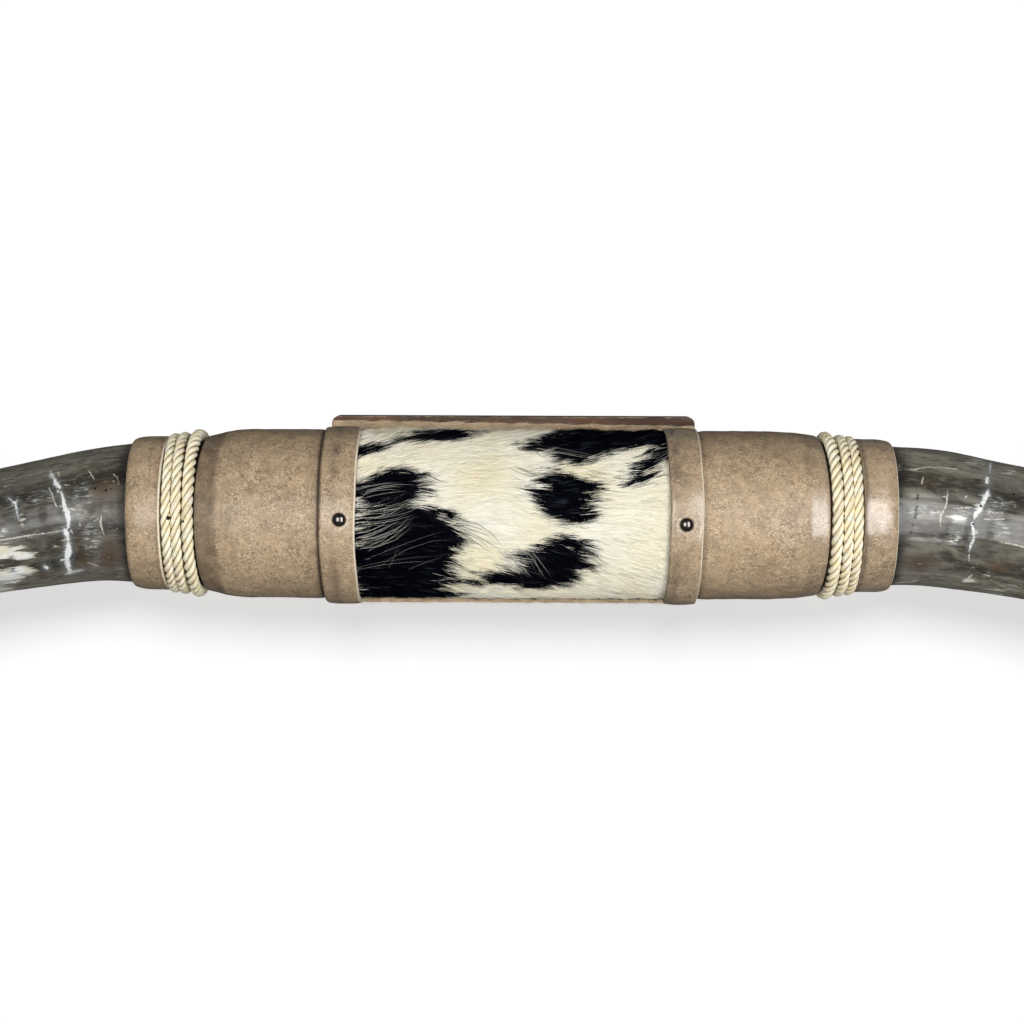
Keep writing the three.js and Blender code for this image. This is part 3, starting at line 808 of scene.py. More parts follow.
# Nails through the rope: dull black, a little rusty.
def paintNail(tree):
    rusty = noise(tree, objectPlace(tree), 1500.0, 3, 0.6)
    return {"Base_Color": blend(tree, remap(tree, rusty, 0.5, 0.7), linear(17, 15, 14), linear(42, 31, 24))}


studMetal = makeMaterial("black_nickel", paintStud, Metallic=1.0)
blackIron = makeMaterial("nail_black", paintNail, Roughness=0.55, Specular_IOR_Level=0.25)
steel = makeMaterial("zinc_plate", paintSteel, Metallic=1.0)
print("materials made")


# Horns

hornForm = {
    "base": 222.3, "neckLength": 24, "neckRadius": 49.3, "cuffRadius": 50.5, "flareLength": 30,
    "socketRadius": 33.2, "socketDepth": 44.6, "depthLoss": 0.07, "steps": 400, "around": 270,
    "crowding": 0.45, "ridge": 0.22, "lump": 0.45, "neckSlope": 1.5,
    "shownTo": 150, "shownRings": 168, "farRings": 141, "tipLength": 14, "tipRings": 14,
}
hornShapes = {
    "left": {
        "radius": 48.6, "flare": 15, "taper": 1.12, "close": 0.76,
        "stations": [0, 36, 95, 150, 255, 400, 550, 700, 835],
        "rise": [0, 0, -9.3, -10.3, -11.2, 1, 23, 47, 61],
        "forward": [0, 0, 3, 7, 14, 21, 20, 9, -5],
    },
    "right": {
        "radius": 50.4, "flare": 3, "taper": 1.3, "close": 0.78,
        "stations": [0, 36, 100, 150, 245, 400, 550, 700, 850],
        "rise": [0, 0, -8.4, -11.2, -11.8, 3, 24, 48, 63],
        "forward": [0, 0, 3, 6, 14, 22, 20, 8, -6],
    },
}
# Marks that show in the photo, by where they fall in it, in pixels. A crack or scratch is a line through
# corners, with its half-width there where given. A pit is a middle and a radius in millimetres. Clouds, brown
# and hatched spots are a middle, two half-sizes and, where it is under 1, a strength.
hornMarks = {
    "left": {
        "crack": [
            [(50, 471, 0.6), (54, 478, 0.8), (56.5, 484, 3.0), (60, 488, 1.2)],
            [(58, 491, 1.1), (58.5, 491, 1.1)],
            [(61, 492, 1.0), (63, 498, 1.6), (64.5, 507, 2.3), (67.5, 513, 2.9), (68.5, 520, 2.2),
             (68.3, 528, 1.2)],
            [(64.5, 530, 1.4), (66.5, 533, 3.0), (68, 537, 1.4), (68.5, 543, 0.9)],
            [(69, 544, 2.0), (68.5, 552, 3.6), (67, 559, 2.6), (67.5, 564, 2.9), (70, 573, 1.6)],
            [(66, 574, 1.0), (75, 571.5, 1.1), (83, 570, 0.6)], [(44, 566, 1.0), (47, 568, 1.8)],
            [(62, 560, 1.2), (63, 560, 1.2)], [(12.5, 505.5, 0.3), (17.5, 500.5, 0.5)],
            [(8.5, 498.5, 0.3), (13, 501.5, 0.8), (15, 503, 1.7), (15.6, 505, 1.1), (17, 511, 0.8),
             (18.2, 518, 0.4)],
        ],
        "scratch": [
            [(-6, 541, 0.55), (14, 538, 0.65), (32, 535, 0.55), (49, 532.6, 0.25), (62, 531, 0.45)],
            [(49, 488), (52, 494), (54.4, 502), (57, 507)], [(71, 530, 0.6), (73, 534, 0.2)],
            [(101.7, 514, 0.2), (100.5, 522, 0.8), (102, 529, 0.7), (104, 535, 0.2)],
            [(89, 471), (90.5, 473), (94, 479)], [(113, 474), (117, 477), (119, 484)],
            [(80, 524, 0.6), (80, 526, 0.6)], [(64, 485, 0.4), (70, 485, 0.3)],
            [(88, 563, 0.2), (98, 566, 0.3)], [(58, 472, 0.7), (59, 475, 0.7)],
            [(59, 506, 0.3), (76, 510, 0.5)],
        ],
        "pit": [(93, 483, 0.9), (95, 488, 0.9), (106, 490, 1), (111, 489, 0.6)],
        "cloud": [(2, 552, 38, 12), (22, 556, 22, 7), (4, 576, 36, 12), (24, 571, 18, 8), (0, 591, 30, 9),
                  (4, 530, 15, 15, 0.5), (52, 476, 7, 7, 0.55), (22, 522, 7, 12, 0.45),
                  (66, 540, 9, 40, 0.4)],
        "brown": [(104, 486, 20, 22), (84, 556, 12, 26), (110, 556, 16, 26), (44, 578, 14, 6),
                  (62, 490, 10, 16, 0.7)],
        "hatch": [(83, 500, 12, 26), (92, 538, 12, 30), (42, 498, 20, 12, 0.7)],
    },
    "right": {
        "crack": [
            [(990.5, 463, 0.9), (990, 472, 0.7)], [(987, 479, 2.0), (987, 482, 2.0)],
            [(988, 490, 0.5), (987, 494, 2.6), (984, 501, 2.0), (980, 509, 2.4), (976, 514, 2.6),
             (974, 519, 0.8)],
            [(972, 523, 1.4), (973, 528, 1.5), (974, 538, 0.9), (971, 545, 1.2), (969.5, 550, 0.4)],
        ],
        "scratch": [
            [(948, 490, 0.2), (947, 500, 0.8), (945.5, 507, 0.5), (940.5, 516.5, 0.8), (940.5, 525.5, 0.4)],
            [(904, 469.5, 0.2), (915, 469.5, 0.6), (927, 467, 0.3), (943, 468, 0.5), (957, 469, 0.6)],
            [(923, 477), (921.5, 485)], [(969.5, 549, 0.5), (969, 561, 0.2)],
            [(999, 542, 0.2), (1012, 544, 0.6), (1024, 547, 0.7)], [(945, 542, 0.2), (958, 540, 0.7)],
            [(984, 519.4, 0.4), (1004, 519.1, 0.5)], [(954, 508.7, 0.4), (972, 507.2, 0.5)],
            [(966, 496, 0.8), (966, 499, 0.2)], [(981, 574, 0.2), (990, 576, 0.6)],
            [(894, 583, 0.2), (917, 581, 0.4)], [(964, 582, 0.7), (972, 575, 0.7)],
        ],
        "pit": [(901, 495.5, 1), (901, 504, 1), (918, 495, 0.9), (917.5, 498, 0.9), (917, 507, 0.9),
                (916, 509.5, 1), (916, 514, 1), (915, 517, 1), (913, 525, 0.7), (911, 532.4, 1),
                (981, 506, 1), (973, 524, 0.8), (988, 501, 0.7), (1014, 494, 0.9)],
        # the clouds across the middle of the right horn are partly its own pale horn and partly a painted
        # reflection
        "cloud": [(985, 497, 7, 9, 0.6), (979, 508, 8, 10, 0.6), (958, 518, 15, 8, 0.6),
                  (974, 532, 7, 14, 0.5), (975, 462, 20, 6, 0.5), (1010, 472, 13, 7, 0.5),
                  (899, 466, 6, 14, 0.45), (1000, 590, 30, 9, 0.5), (970, 581, 12, 5, 0.6),
                  (997, 512, 14, 12, 0.35)],
        "brown": [(920, 562, 24, 12), (906, 532, 12, 8), (1000, 568, 20, 10), (930, 480, 18, 10)],
        "hatch": [(996, 508, 16, 15), (960, 517, 16, 9), (955, 538, 14, 10), (925, 512, 26, 9),
                  (1000, 530, 16, 10)],
    },
}


# Values along a horn by a cubic through its stations that never overshoots them, as in the solids' source.
def between(stations, values, at):
    stations, values = np.array(stations, float), np.array(values, float)
    slopes = np.diff(values) / np.diff(stations)
    tangents = np.zeros(len(values))
    product = slopes[:-1] * slopes[1:]
    summed = np.where(product > 0, slopes[:-1] + slopes[1:], 1)
    tangents[1:-1] = np.where(product > 0, 2 * product / summed, 0)
    i = np.clip(np.searchsorted(stations, at, side="left") - 1, 0, len(stations) - 2)
    width = stations[i + 1] - stations[i]
    t = np.clip((at - stations[i]) / width, 0, 1)
    early = (1 + 2 * t) * (1 - t) ** 2 * values[i] + t * (1 - t) ** 2 * width * tangents[i]
    late = t * t * (3 - 2 * t) * values[i + 1] + t * t * (t - 1) * width * tangents[i + 1]
    return early + late


# Places and headings along the middle of a horn, walked in short steps from its base.
def hornLine(shape, sign):
    length = shape["stations"][-1]
    step = length / hornForm["steps"]
    at = np.arange(hornForm["steps"] + 1) * step
    rise = np.radians(between(shape["stations"], shape["rise"], at))
    forward = np.radians(between(shape["stations"], shape["forward"], at))
    headings = np.stack([sign * np.cos(rise) * np.cos(forward), -np.cos(rise) * np.sin(forward),
                         np.sin(rise)], -1)
    start = np.array([[sign * hornForm["base"], 0, 0]])
    places = np.concatenate([start, start + np.cumsum(headings * step, 0)])
    return length, step, places, headings


# Distances of points to the lines and pits that show in the photo, less their half-widths, and how far
# inside its spots each point is. Points that face away from the camera get none of them.
def markValues(points, outward, marks):
    seen = inPicture(points)
    towardsEye = np.array(cameraPlace.translation) / mm + (0, axisOut, 0) - points
    hidden = (outward * towardsEye).sum(-1) < 0
    pixel, far = 0.7, 20      # one pixel of the photo, and a distance with no mark in reach, in millimetres
    crack = distanceToLines(seen, marks["crack"]) * pixel
    scratch = distanceToLines(seen, marks["scratch"], 0.45) * pixel - 0.12
    pit = np.min([np.linalg.norm(seen - (x, y), axis=-1) * pixel - size for x, y, size in marks["pit"]], 0)
    lines = np.minimum(np.stack([crack, scratch, pit], -1), far)
    lines[hidden] = far
    spots = []
    for kind in ("cloud", "brown", "hatch"):
        inside = [(share or [1.0])[0] * (1 - np.hypot((seen[..., 0] - x) / wide, (seen[..., 1] - y) / high))
                  for x, y, wide, high, *share in marks[kind]]
        spots.append(np.where(hidden, -1, np.max(inside, 0)))
    return lines, np.stack(spots, -1)


# A horn: rings of a radius that narrows as (1 - t^taper)^close, bent along the horn's line, with low rings
# and lumps. Its base is pared down for the cuff and hollow for the core's tenon.
def makeHorn(side):
    shape, sign = hornShapes[side], sides[side]
    length, step, places, headings = hornLine(shape, sign)
    neck, socket = hornForm["neckLength"], hornForm["socketDepth"]
    # rings stand close where the photo shows the horn, and closer again over the tip
    shownTo, tip = hornForm["shownTo"], hornForm["tipLength"]
    outer = np.concatenate([
        np.linspace(neck + hornForm["neckSlope"], shownTo, hornForm["shownRings"]),
        np.linspace(shownTo, length - tip, hornForm["farRings"])[1:],
        length - tip * (1 - np.linspace(0, 1, hornForm["tipRings"])[1:-1]) ** 2,
    ])
    narrowing = (1 - (outer / length) ** shape["taper"]) ** shape["close"]
    natural = shape["radius"] * narrowing + shape["flare"] * np.exp(-outer / hornForm["flareLength"])
    radius = np.minimum(natural, hornForm["cuffRadius"])
    along = np.concatenate([[socket, socket, socket / 2, 0, 0, neck / 2, neck], outer])
    bore, neckOut = hornForm["socketRadius"], hornForm["neckRadius"]
    radii = np.concatenate([[bore * 0.5, bore, bore, bore, neckOut, neckOut, neckOut], radius])
    # points stand closer at the front, where the fine marks are
    turned = np.linspace(0, roundTurn, hornForm["around"], endpoint=False)
    angle = turned - hornForm["crowding"] * np.sin(turned)
    # low relief fades in past the cuff and towards the tip
    clear = smoothStep(46, 60, along)[:, None] * smoothStep(0, 30, length - along)[:, None]
    ringed = np.sin(along / 3.1 + 2.2 * np.sin(along / 17) + 1.3 * np.sin(along / 41))[:, None]
    fading = np.exp(-along / 260)[:, None]
    ridges = hornForm["ridge"] * ringed * fading * (0.6 + 0.4 * np.cos(2 * angle))
    # the marbling follows the horn as if it were straight and as thick all along
    flow = shape["radius"] * np.cos(angle), shape["radius"] * np.sin(angle), along[:, None]
    flow = np.stack(np.broadcast_arrays(*flow), -1)
    lumps = hornForm["lump"] * ripple(flow * (1, 1, 0.5), 38, 11 + sign)
    facets = 0.16 * ripple(flow * (1, 1, 0.06), 9, 21 + sign)
    radii = radii[:, None] + clear * (ridges + lumps + facets) * np.minimum(radii / 30, 1)[:, None]
    at = np.clip(along / step, 0, hornForm["steps"])
    index = np.minimum(at.astype(int), len(headings) - 1)
    middle = places[index] + (places[index + 1] - places[index]) * (at - index)[:, None]
    heading = headings[index]
    up = np.cross(heading, (0, 1, 0))
    up /= np.linalg.norm(up, axis=-1, keepdims=True)
    back = np.cross(up, heading)
    depthShare = (1 - hornForm["depthLoss"] * along / length)[:, None]
    upward = radii * np.sin(angle)
    backward = -radii * np.cos(angle) * depthShare
    offset = sign * upward[..., None] * up[:, None] + backward[..., None] * back[:, None]
    rings = middle[:, None] + offset
    points, faces, uv = tubeFaces(rings)
    outward = np.concatenate([offset.reshape(-1, 3), -heading[:1], heading[-1:]])
    lines, spots = markValues(points, outward, hornMarks[side])
    flowAll = np.concatenate([flow.reshape(-1, 3), flow[0].mean(0)[None], flow[-1].mean(0)[None]]) * mm
    values = {"flow": flowAll, "marks": lines, "tints": spots}
    piece = addPiece(f"horn_{side}_polished", points, faces, uv, values)
    return finishPiece(piece, horn, "horn", f"horn_{side}")


for side in sides:
    makeHorn(side)
print("horns made")


# Leather sleeves and cuffs

# The pieces past the shoulder stand a little nearer the middle at the front than at top and bottom.
def pulled(angle, amount):
    return amount * np.maximum(np.cos(angle), 0)


# Unevenness of a leather skin round the core, in its radius.
def leatherRipple(x, angle, seed, amount):
    spread = np.stack([x, 55 * np.cos(angle), 55 * np.sin(angle)], -1)
    return amount * (0.6 * ripple(spread, 46, seed) + 0.4 * ripple(spread, 14, seed + 1))


# The lap of a leather wrap, at the back: its upper layer stands proud and ends in a step.
def lap(angle, thickness):
    past = angle % roundTurn - math.pi
    return thickness * smoothStep(-0.30, -0.02, past) * (1 - smoothStep(0.0, 0.022, past))


# Puts a ring-shaped piece together: `profile` of across, out and edge, carried round the axis, with its
# place along X and its radius changed by `shape`, which also says how stained and how shiny it is.
def ringPiece(name, profile, side, around, shape):
    angle = np.linspace(0, roundTurn, around, endpoint=False)
    x, radius, angle = np.broadcast_arrays(profile[:, 0, None], profile[:, 1, None], angle[None])
    x, radius, stain, shine = shape(x, radius, angle)
    points = roundAxis(side * x, radius, angle).reshape(-1, 3)
    faces, uv = gridFaces(len(profile), around, wrapRows=True)
    edge = np.repeat(profile[:, 2], around)
    values = {"edge": edge, "stain": stain.ravel(), "shine": shine.ravel()}
    return addPiece(name, points, faces, uv, values)


sleeveForm = {
    "start": 120, "radius": 60.5, "bore": 57, "neckBore": 49.7, "end": 246.5, "around": 240,
    "shoulder": {"left": [(190, 60.5, 5), (204, 59.1, 2.5), (219.9, 55.6, 1.2)],
                 "right": [(182, 60.5, 8), (206.5, 59.3, 1.6), (219.9, 57.5, 1.2)]},
    "neckStart": 51.7, "neckEnd": 50.2, "ripple": 0.28, "lap": 1.1, "step": 2.2,
    "frontPull": {"left": 0.2, "right": 0.3}, "limbPull": 3.0,
    "crease": {"left": 0.2, "right": 0.1}, "creaseAt": {"left": 202, "right": 206.0},
    # stain is painted shade over the shoulder, strapShadow painted shadow beside the strap, topBottomShade
    # painted shade towards top and bottom
    "stain": {"left": 0.85, "right": 0.12}, "strapShadow": {"left": 1.0, "right": 0.35},
    "shine": {"left": 0.1, "right": 1.0}, "topBottomShade": {"left": 0.0, "right": 0.3},
    "boardFrom": (131.2, 132.6),      # degrees round from the front
}


def makeSleeve(side, sign):
    form = sleeveForm
    corners = [(form["start"], form["bore"], 0.3, 1), (form["start"], form["radius"], 0.8, 0)]
    corners += [(*corner, 0) for corner in form["shoulder"][side]]
    corners += [(220.3, form["neckStart"], 0.6, 0), (form["end"], form["neckEnd"], 0.3, 0),
                (form["end"], form["neckBore"], 0.1, 0), (212.5, form["neckBore"], 1, 0),
                (196.4, form["bore"], 1, 0)]
    profile = rounded(corners, form["step"])
    boardEnd = (boardHigh.x if sign > 0 else -boardLow.x) / mm + 0.4

    def shape(x, radius, angle):
        skin = smoothStep(form["bore"], form["radius"] - 1, radius) * (1 - smoothStep(196, 222, x) * 0.4)
        gather = 0.2 * np.sin(23 * angle + 3 * np.sin(5 * angle)) * hump(x - 216, 5) * skin
        radius = radius + skin * leatherRipple(x, angle, 30 + sign, form["ripple"]) + gather
        radius = radius + lap(angle, form["lap"]) * np.where(x < 221, skin, 0)
        fromCrease = x - form["creaseAt"][side] - 0.7 * np.sin(3 * angle)
        radius = radius - skin * form["crease"][side] * hump(fromCrease, 2.4)
        # the strap presses a shallow groove beside itself
        behind = smoothStep(*np.radians(form["boardFrom"]), np.abs((angle + math.pi) % roundTurn - math.pi))
        radius = radius - skin * 0.6 * hump(x - form["start"] - 12.8, 2.4) * (1 - behind)
        # painted shade: a darker band over the shoulder, strongest on the left sleeve, whose shoulder faces
        # away from the key light
        wavering = x + 0.8 * ripple(np.stack([angle * 55, x], -1), 12, 34)
        stain = form["stain"][side] * smoothStep(201, 207, wavering)
        # painted shadow beside the strap
        beside = 1.65 * hump(x - form["start"] - 13.1, 1.0) + 0.4 * hump(x - form["start"] - 14, 5)
        stain = stain + form["strapShadow"][side] * beside * (1 - behind)
        # painted shade towards the top and bottom
        stain = stain + form["topBottomShade"][side] * smoothStep(0.5, 1.25, np.abs(np.sin(angle / 2) * 2))
        # painted shade, darkest, in the gap where the sleeve meets the rope
        stain = stain + 1.9 * hump(x - 221.3, 1.6)
        # behind the core the sleeve starts past the board's end
        first = form["start"] + behind * (boardEnd - form["start"])
        x = first + (x - form["start"]) * (form["end"] - first) / (form["end"] - form["start"])
        shine = form["shine"][side] * smoothStep(205, 209, x) * (1 - smoothStep(218.5, 220, x)) + 0 * radius
        limbPull = form["limbPull"] - pulled(angle, form["limbPull"])
        pull = pulled(angle, form["frontPull"][side]) + limbPull * (x < 222)
        return x - pull * smoothStep(196, 216, x), radius, np.clip(stain, 0, 2), shine

    piece = ringPiece(f"sleeve_{side}_leather", profile, sign, form["around"], shape)
    return finishPiece(piece, leather, "leather", f"sleeve_{side}")


cuffForm = {
    "start": 244.9, "end": 271.2, "radius": 55.2, "bore": 51.2, "lipBore": 50.9, "around": 288,
    "startPull": 1.3, "endPull": 3.4, "ripple": 0.3, "lap": 1.3,
    # the right lip ends in a pale raw edge, a painted highlight where it faces the key light
    "lip": {"left": [(263.5, 55.0, 4, 0), (269.4, 53.6, 2.2, 0)],
            "right": [(261.5, 55.1, 4, 0), (267.6, 54.0, 2.6, 0), (270.3, 52.7, 0.5, 1)]},
    # a pale raw edge at the left cuff's start only, a painted highlight where it faces the key light
    "startEdgeHighlight": {"left": 1.0, "right": 0.0}, "shine": {"left": 0.25, "right": 1.0},
}


def makeCuff(side, sign):
    form = cuffForm
    raw = form["startEdgeHighlight"][side]
    corners = [(form["start"], form["bore"], 0.2, raw), (form["start"], form["radius"] - 0.9, 0.4, raw),
               (form["start"] + 1.1, form["radius"], 0.5, 0), *form["lip"][side]]
    corners += [(form["end"], 51.5, 0.25, 1), (form["end"], form["lipBore"], 0.1, 0),
                (246.9, form["lipBore"], 0.1, 0), (246.9, form["bore"], 0.1, 0)]
    profile = rounded(corners, 1.0)

    def shape(x, radius, angle):
        skin = smoothStep(form["bore"], form["radius"] - 1, radius)
        radius = radius + skin * leatherRipple(x, angle, 40 + sign, form["ripple"])
        radius = radius + lap(angle, form["lap"]) * skin
        share = smoothStep(form["start"], form["end"], x)
        # painted shade at the start, against the rope, darker where the start faces away from the key light
        stain = (0.9 - 0.5 * raw) * hump(x - form["start"] - 1.5, 1.8) + 0 * radius
        x = x - pulled(angle, 1) * (form["startPull"] + share * (form["endPull"] - form["startPull"]))
        return x, radius, np.clip(stain, 0, 1), form["shine"][side] * skin

    piece = ringPiece(f"cuff_{side}_leather", profile, sign, form["around"], shape)
    return finishPiece(piece, leather, "leather", f"cuff_{side}")


for side, sign in sides.items():
    makeSleeve(side, sign)
    makeCuff(side, sign)
print("sleeves and cuffs made")


# Rope: three strands, laid, wound three times round the neck with its crossings and ends at the back

ropeForm = {
    "turnsAt": {"left": [224.0, 232.1, 239.0], "right": [225.0, 232.7, 239.6]},      # at the front
    "limbsAt": [224.4, 234.6, 241.6],      # at top and bottom
    "diameters": [8.2, 7.4, 6.9],
    "limbGrowth": 0.7,                     # of the innermost turn
    "lay": 23.0, "strands": 3, "around": 38, "step": 0.76, "wound": 54.8, "neckFrom": 220.6,
    "crossing": math.radians(30), "end": math.radians(150),
    "lobeOut": 0.485, "lobeSize": 0.515,  # each strand's middle and radius, in half diameters
    "fibres": 260, "pins": {"left": [(168.4, 518, 1.45), (183.6, 521.5, 0.85)], "right": [(844.5, 516, 0.8)]},
}


# The rope's line and frame: rings round the neck, each passing to the next across the back.
def ropeLine(side, angle):
    form, sign = ropeForm, sides[side]
    turn = np.round(angle / roundTurn)
    fromFront = angle - turn * roundTurn
    share = np.clip((np.abs(fromFront) - (math.pi - form["crossing"])) / (2 * form["crossing"]), 0, 0.5)
    wound = turn + np.sign(fromFront) * share * share * (3 - 2 * share)
    turns = np.arange(len(form["limbsAt"]))
    frontShare = pulled(angle, 1)
    atFront = np.interp(wound, turns, form["turnsAt"][side])
    x = frontShare * atFront + (1 - frontShare) * np.interp(wound, turns, form["limbsAt"])
    x = np.where(wound < 0, form["limbsAt"][0] + wound * 5.0, x)
    x = np.where(wound > 2, form["limbsAt"][2] + (wound - 2) * 3.0, x)
    diameter = np.interp(wound, turns, form["diameters"])
    innermost = (1 - smoothStep(0.0, 0.8, wound)) * (wound > -0.2)
    diameter = diameter + form["limbGrowth"] * (1 - frontShare) * innermost
    share = (x - form["neckFrom"]) / (sleeveForm["end"] - form["neckFrom"])
    neck = sleeveForm["neckStart"] + share * (sleeveForm["neckEnd"] - sleeveForm["neckStart"])
    return roundAxis(sign * x, neck + 0.1 + diameter / 2, angle), diameter


# Each ring's outline is the outer edge of three round strands, turned once in a lay length, right-handed.
def makeRope(side):
    form = ropeForm
    start, stop = -form["end"], roundTurn * (len(form["limbsAt"]) - 1) + form["end"]
    angle = np.linspace(start, stop, int((stop - start) * form["wound"] / form["step"]))
    line, diameter = ropeLine(side, angle)
    along = np.gradient(line, axis=0)
    walked = np.concatenate([[0], np.cumsum(np.linalg.norm(np.diff(line, axis=0), axis=1))])
    along /= np.linalg.norm(along, axis=-1, keepdims=True)
    out = roundAxis(0, 1, angle)
    out -= (out * along).sum(-1, keepdims=True) * along
    out /= np.linalg.norm(out, axis=-1, keepdims=True)
    beside = np.cross(along, out)
    turned = np.linspace(0, roundTurn, form["around"], endpoint=False)
    within = (turned + math.pi / form["strands"]) % (roundTurn / form["strands"]) - math.pi / form["strands"]
    lobeOut, lobeSize = form["lobeOut"], form["lobeSize"]
    lobe = lobeOut * np.cos(within) + np.sqrt(lobeSize ** 2 - (lobeOut * np.sin(within)) ** 2)
    # deep is 1 in the grooves between strands, where the rope is darkened with painted shade
    deep = (lobe.max() - lobe) / (lobe.max() - lobe.min())
    twist = turned[None] + roundTurn * walked[:, None] / form["lay"] + 0.5 * np.sin(walked[:, None] / 31)
    worn = 1 + 0.03 * np.sin(walked / 5.3)[:, None] + 0.03 * np.sin(walked[:, None] / 2.9 + turned)
    tapered = 1 - 0.35 * (hump(walked, 1.6) + hump(walked - walked[-1], 1.6))[:, None]
    radius = diameter[:, None] / 2 * lobe[None] * worn * tapered
    rings = (line[:, None] + (radius * np.cos(twist))[..., None] * out[:, None]
             + (radius * np.sin(twist))[..., None] * beside[:, None])
    points, faces, uv = tubeFaces(rings)
    # yarns run nearly along the rope, across the lay of its strands
    lean = twist - 0.55 * roundTurn * walked[:, None] / form["lay"]
    yarn = np.stack([3.6 * np.cos(lean), 3.6 * np.sin(lean), 0 * lean + walked[:, None]], -1)
    yarn = yarn.reshape(-1, 3) * mm
    yarn = np.concatenate([yarn, yarn[:1], yarn[-1:]])
    depth = np.concatenate([np.tile(deep, len(line)), [0.5, 0.5]])
    piece = addPiece(f"rope_{side}_laid", points, faces, uv, {"yarn": yarn, "deep": depth})
    finishPiece(piece, rope, "rope", f"rope_{side}")
    makeRopeFibres(side, line, out, beside, along, diameter)
    makePins(side)


# Loose fibres: short ribbons that leave the rope at random, and a tuft at each of its ends.
def makeRopeFibres(side, line, out, beside, along, diameter):
    dice = np.random.default_rng(51 if side == "left" else 52)
    count, tuft = ropeForm["fibres"], 46
    at = dice.integers(5, len(line) - 5, count)
    at = np.concatenate([at, np.full(tuft, 2), np.full(tuft, len(line) - 3)])
    total = len(at)
    turn = dice.uniform(-1.3, 1.3, total)
    away = np.cos(turn)[:, None] * out[at] + np.sin(turn)[:, None] * beside[at]
    ends = np.concatenate([dice.choice([-1, 1], count), np.full(tuft, -1), np.full(tuft, 1)])[:, None]
    isTuft = np.arange(total) >= count
    length = np.where(isTuft, dice.uniform(3, 6, total), dice.uniform(1.2, 4.2, total))
    lift = np.where(isTuft, 0.15, dice.uniform(0.1, 0.55, total))
    inside = np.where(isTuft, dice.uniform(0, 0.9, total), 0.9)
    root = line[at] + away * (diameter[at] / 2 * inside)[:, None]
    t = np.linspace(0, 1, 4)[None, :, None]
    heading = ends * along[at] + dice.normal(0, 0.25, (total, 3))
    forward, upward = heading * length[:, None], away * (length * lift)[:, None]
    lines = root[:, None] + forward[:, None] * t + upward[:, None] * t ** 1.5
    halfWidths = np.broadcast_to(np.array([0.11, 0.09, 0.06, 0]), (total, 4))
    points, faces = ribbons(lines, halfWidths, away)
    tone = np.array(linear(238, 222, 184)) * np.repeat(dice.uniform(0.7, 1.0, total), 7)[:, None]
    piece = addPiece(f"rope_{side}_fibres", points, faces, values={"tone": tone}, closed=False)
    finishPiece(piece, fibre, "rope")


# Small nails through the rope, where they show in the photo: domed heads on the rope's outer side.
def makePins(side):
    angle = np.linspace(-0.3, 0.3, 601)
    allPoints, allFaces, filled = [], [], 0
    for across, down, size in ropeForm["pins"][side]:
        best = None
        for turn in range(3):
            line, diameter = ropeLine(side, angle + turn * roundTurn)
            # on the rope's round side, as far from its middle line as the pixel is
            for lean in np.linspace(-1.1, 1.1, 23):
                leaning = roundAxis(0, math.cos(lean), angle) + (math.sin(lean), 0, 0)
                outer = line + leaning * (diameter / 2)[:, None] * 0.93
                miss = np.linalg.norm(inPicture(outer) - (across, down), axis=-1) + 0.3 * abs(lean)
                if best is None or miss.min() < best[0]:
                    best = (miss.min(), outer[miss.argmin()], angle[miss.argmin()])
        head, faces = roundHead(size, size * 0.6, 16)
        allPoints.append(turnOut(head, best[2]) + best[1])
        allFaces += [some + filled for some in faces]
        filled += len(head)
    piece = addPiece(f"rope_{side}_pins", np.concatenate(allPoints), allFaces)
    finishPiece(piece, blackIron, "stud")


# A domed head on a short stem along -Y: rings whose radius follows a quarter ellipse.
def roundHead(radius, height, around, stem=2.0, rings=8):
    share = np.linspace(0, 0.96, rings) * math.pi / 2
    radii = np.concatenate([[radius * 0.4, radius * 0.4, radius * 0.96], radius * np.cos(share)])
    out = np.concatenate([[-stem, -0.02, 0.0], 0.12 * radius + height * np.sin(share)])
    turned = np.linspace(0, roundTurn, around, endpoint=False)
    points = np.stack([radii[:, None] * np.cos(turned), np.broadcast_to(-out[:, None], (len(out), around)),
                       radii[:, None] * np.sin(turned)], -1)
    points, faces, _ = tubeFaces(points)
    return points, faces


# Turns a shape made along -Y up round the axis by an angle.
def turnOut(points, angle):
    c, s = math.cos(angle), math.sin(angle)
    x, y, z = points.T
    return np.stack([x, c * y + s * z, -s * y + c * z], -1)


for side in sides:
    makeRope(side)
print("ropes made")


# Cowhide: a band of skin under hair that flows to the right

hideForm = {
    "radius": 60.0, "underStrap": 60.3, "halfLength": 119.6, "skinInner": 57.0, "skinOuter": 57.7,
    "reach": math.radians(131.5), "strands": 178000, "pieces": 6, "length": (12.5, 20.5),
    "halfWidth": 0.172, "coat": 2.2, "undercoat": 0.35, "clump": 3.6, "tuft": 13.0, "rootShift": 9.5,
    "lockShift": 6.4, "strapFrom": 107.0, "seed": 5, "ivory": linear(255, 252, 239),
    "cream": linear(251, 243, 215), "black": linear(2, 3, 8), "glint": linear(62, 68, 78),
    "grazing": 0.985, "pastOutline": 150,      # where the hide turns out of sight, and how fast it goes on
    # where the coat stands up along its top, in pixels across, how much thicker and over how many pixels
    "tufts": [(393, 1.5, 16), (430, 1.2, 20), (472, 0.6, 14), (512, 0.5, 12), (545, 0.7, 12), (577, 1.1, 13),
              (612, 0.6, 12), (646, 1.1, 12)],
}
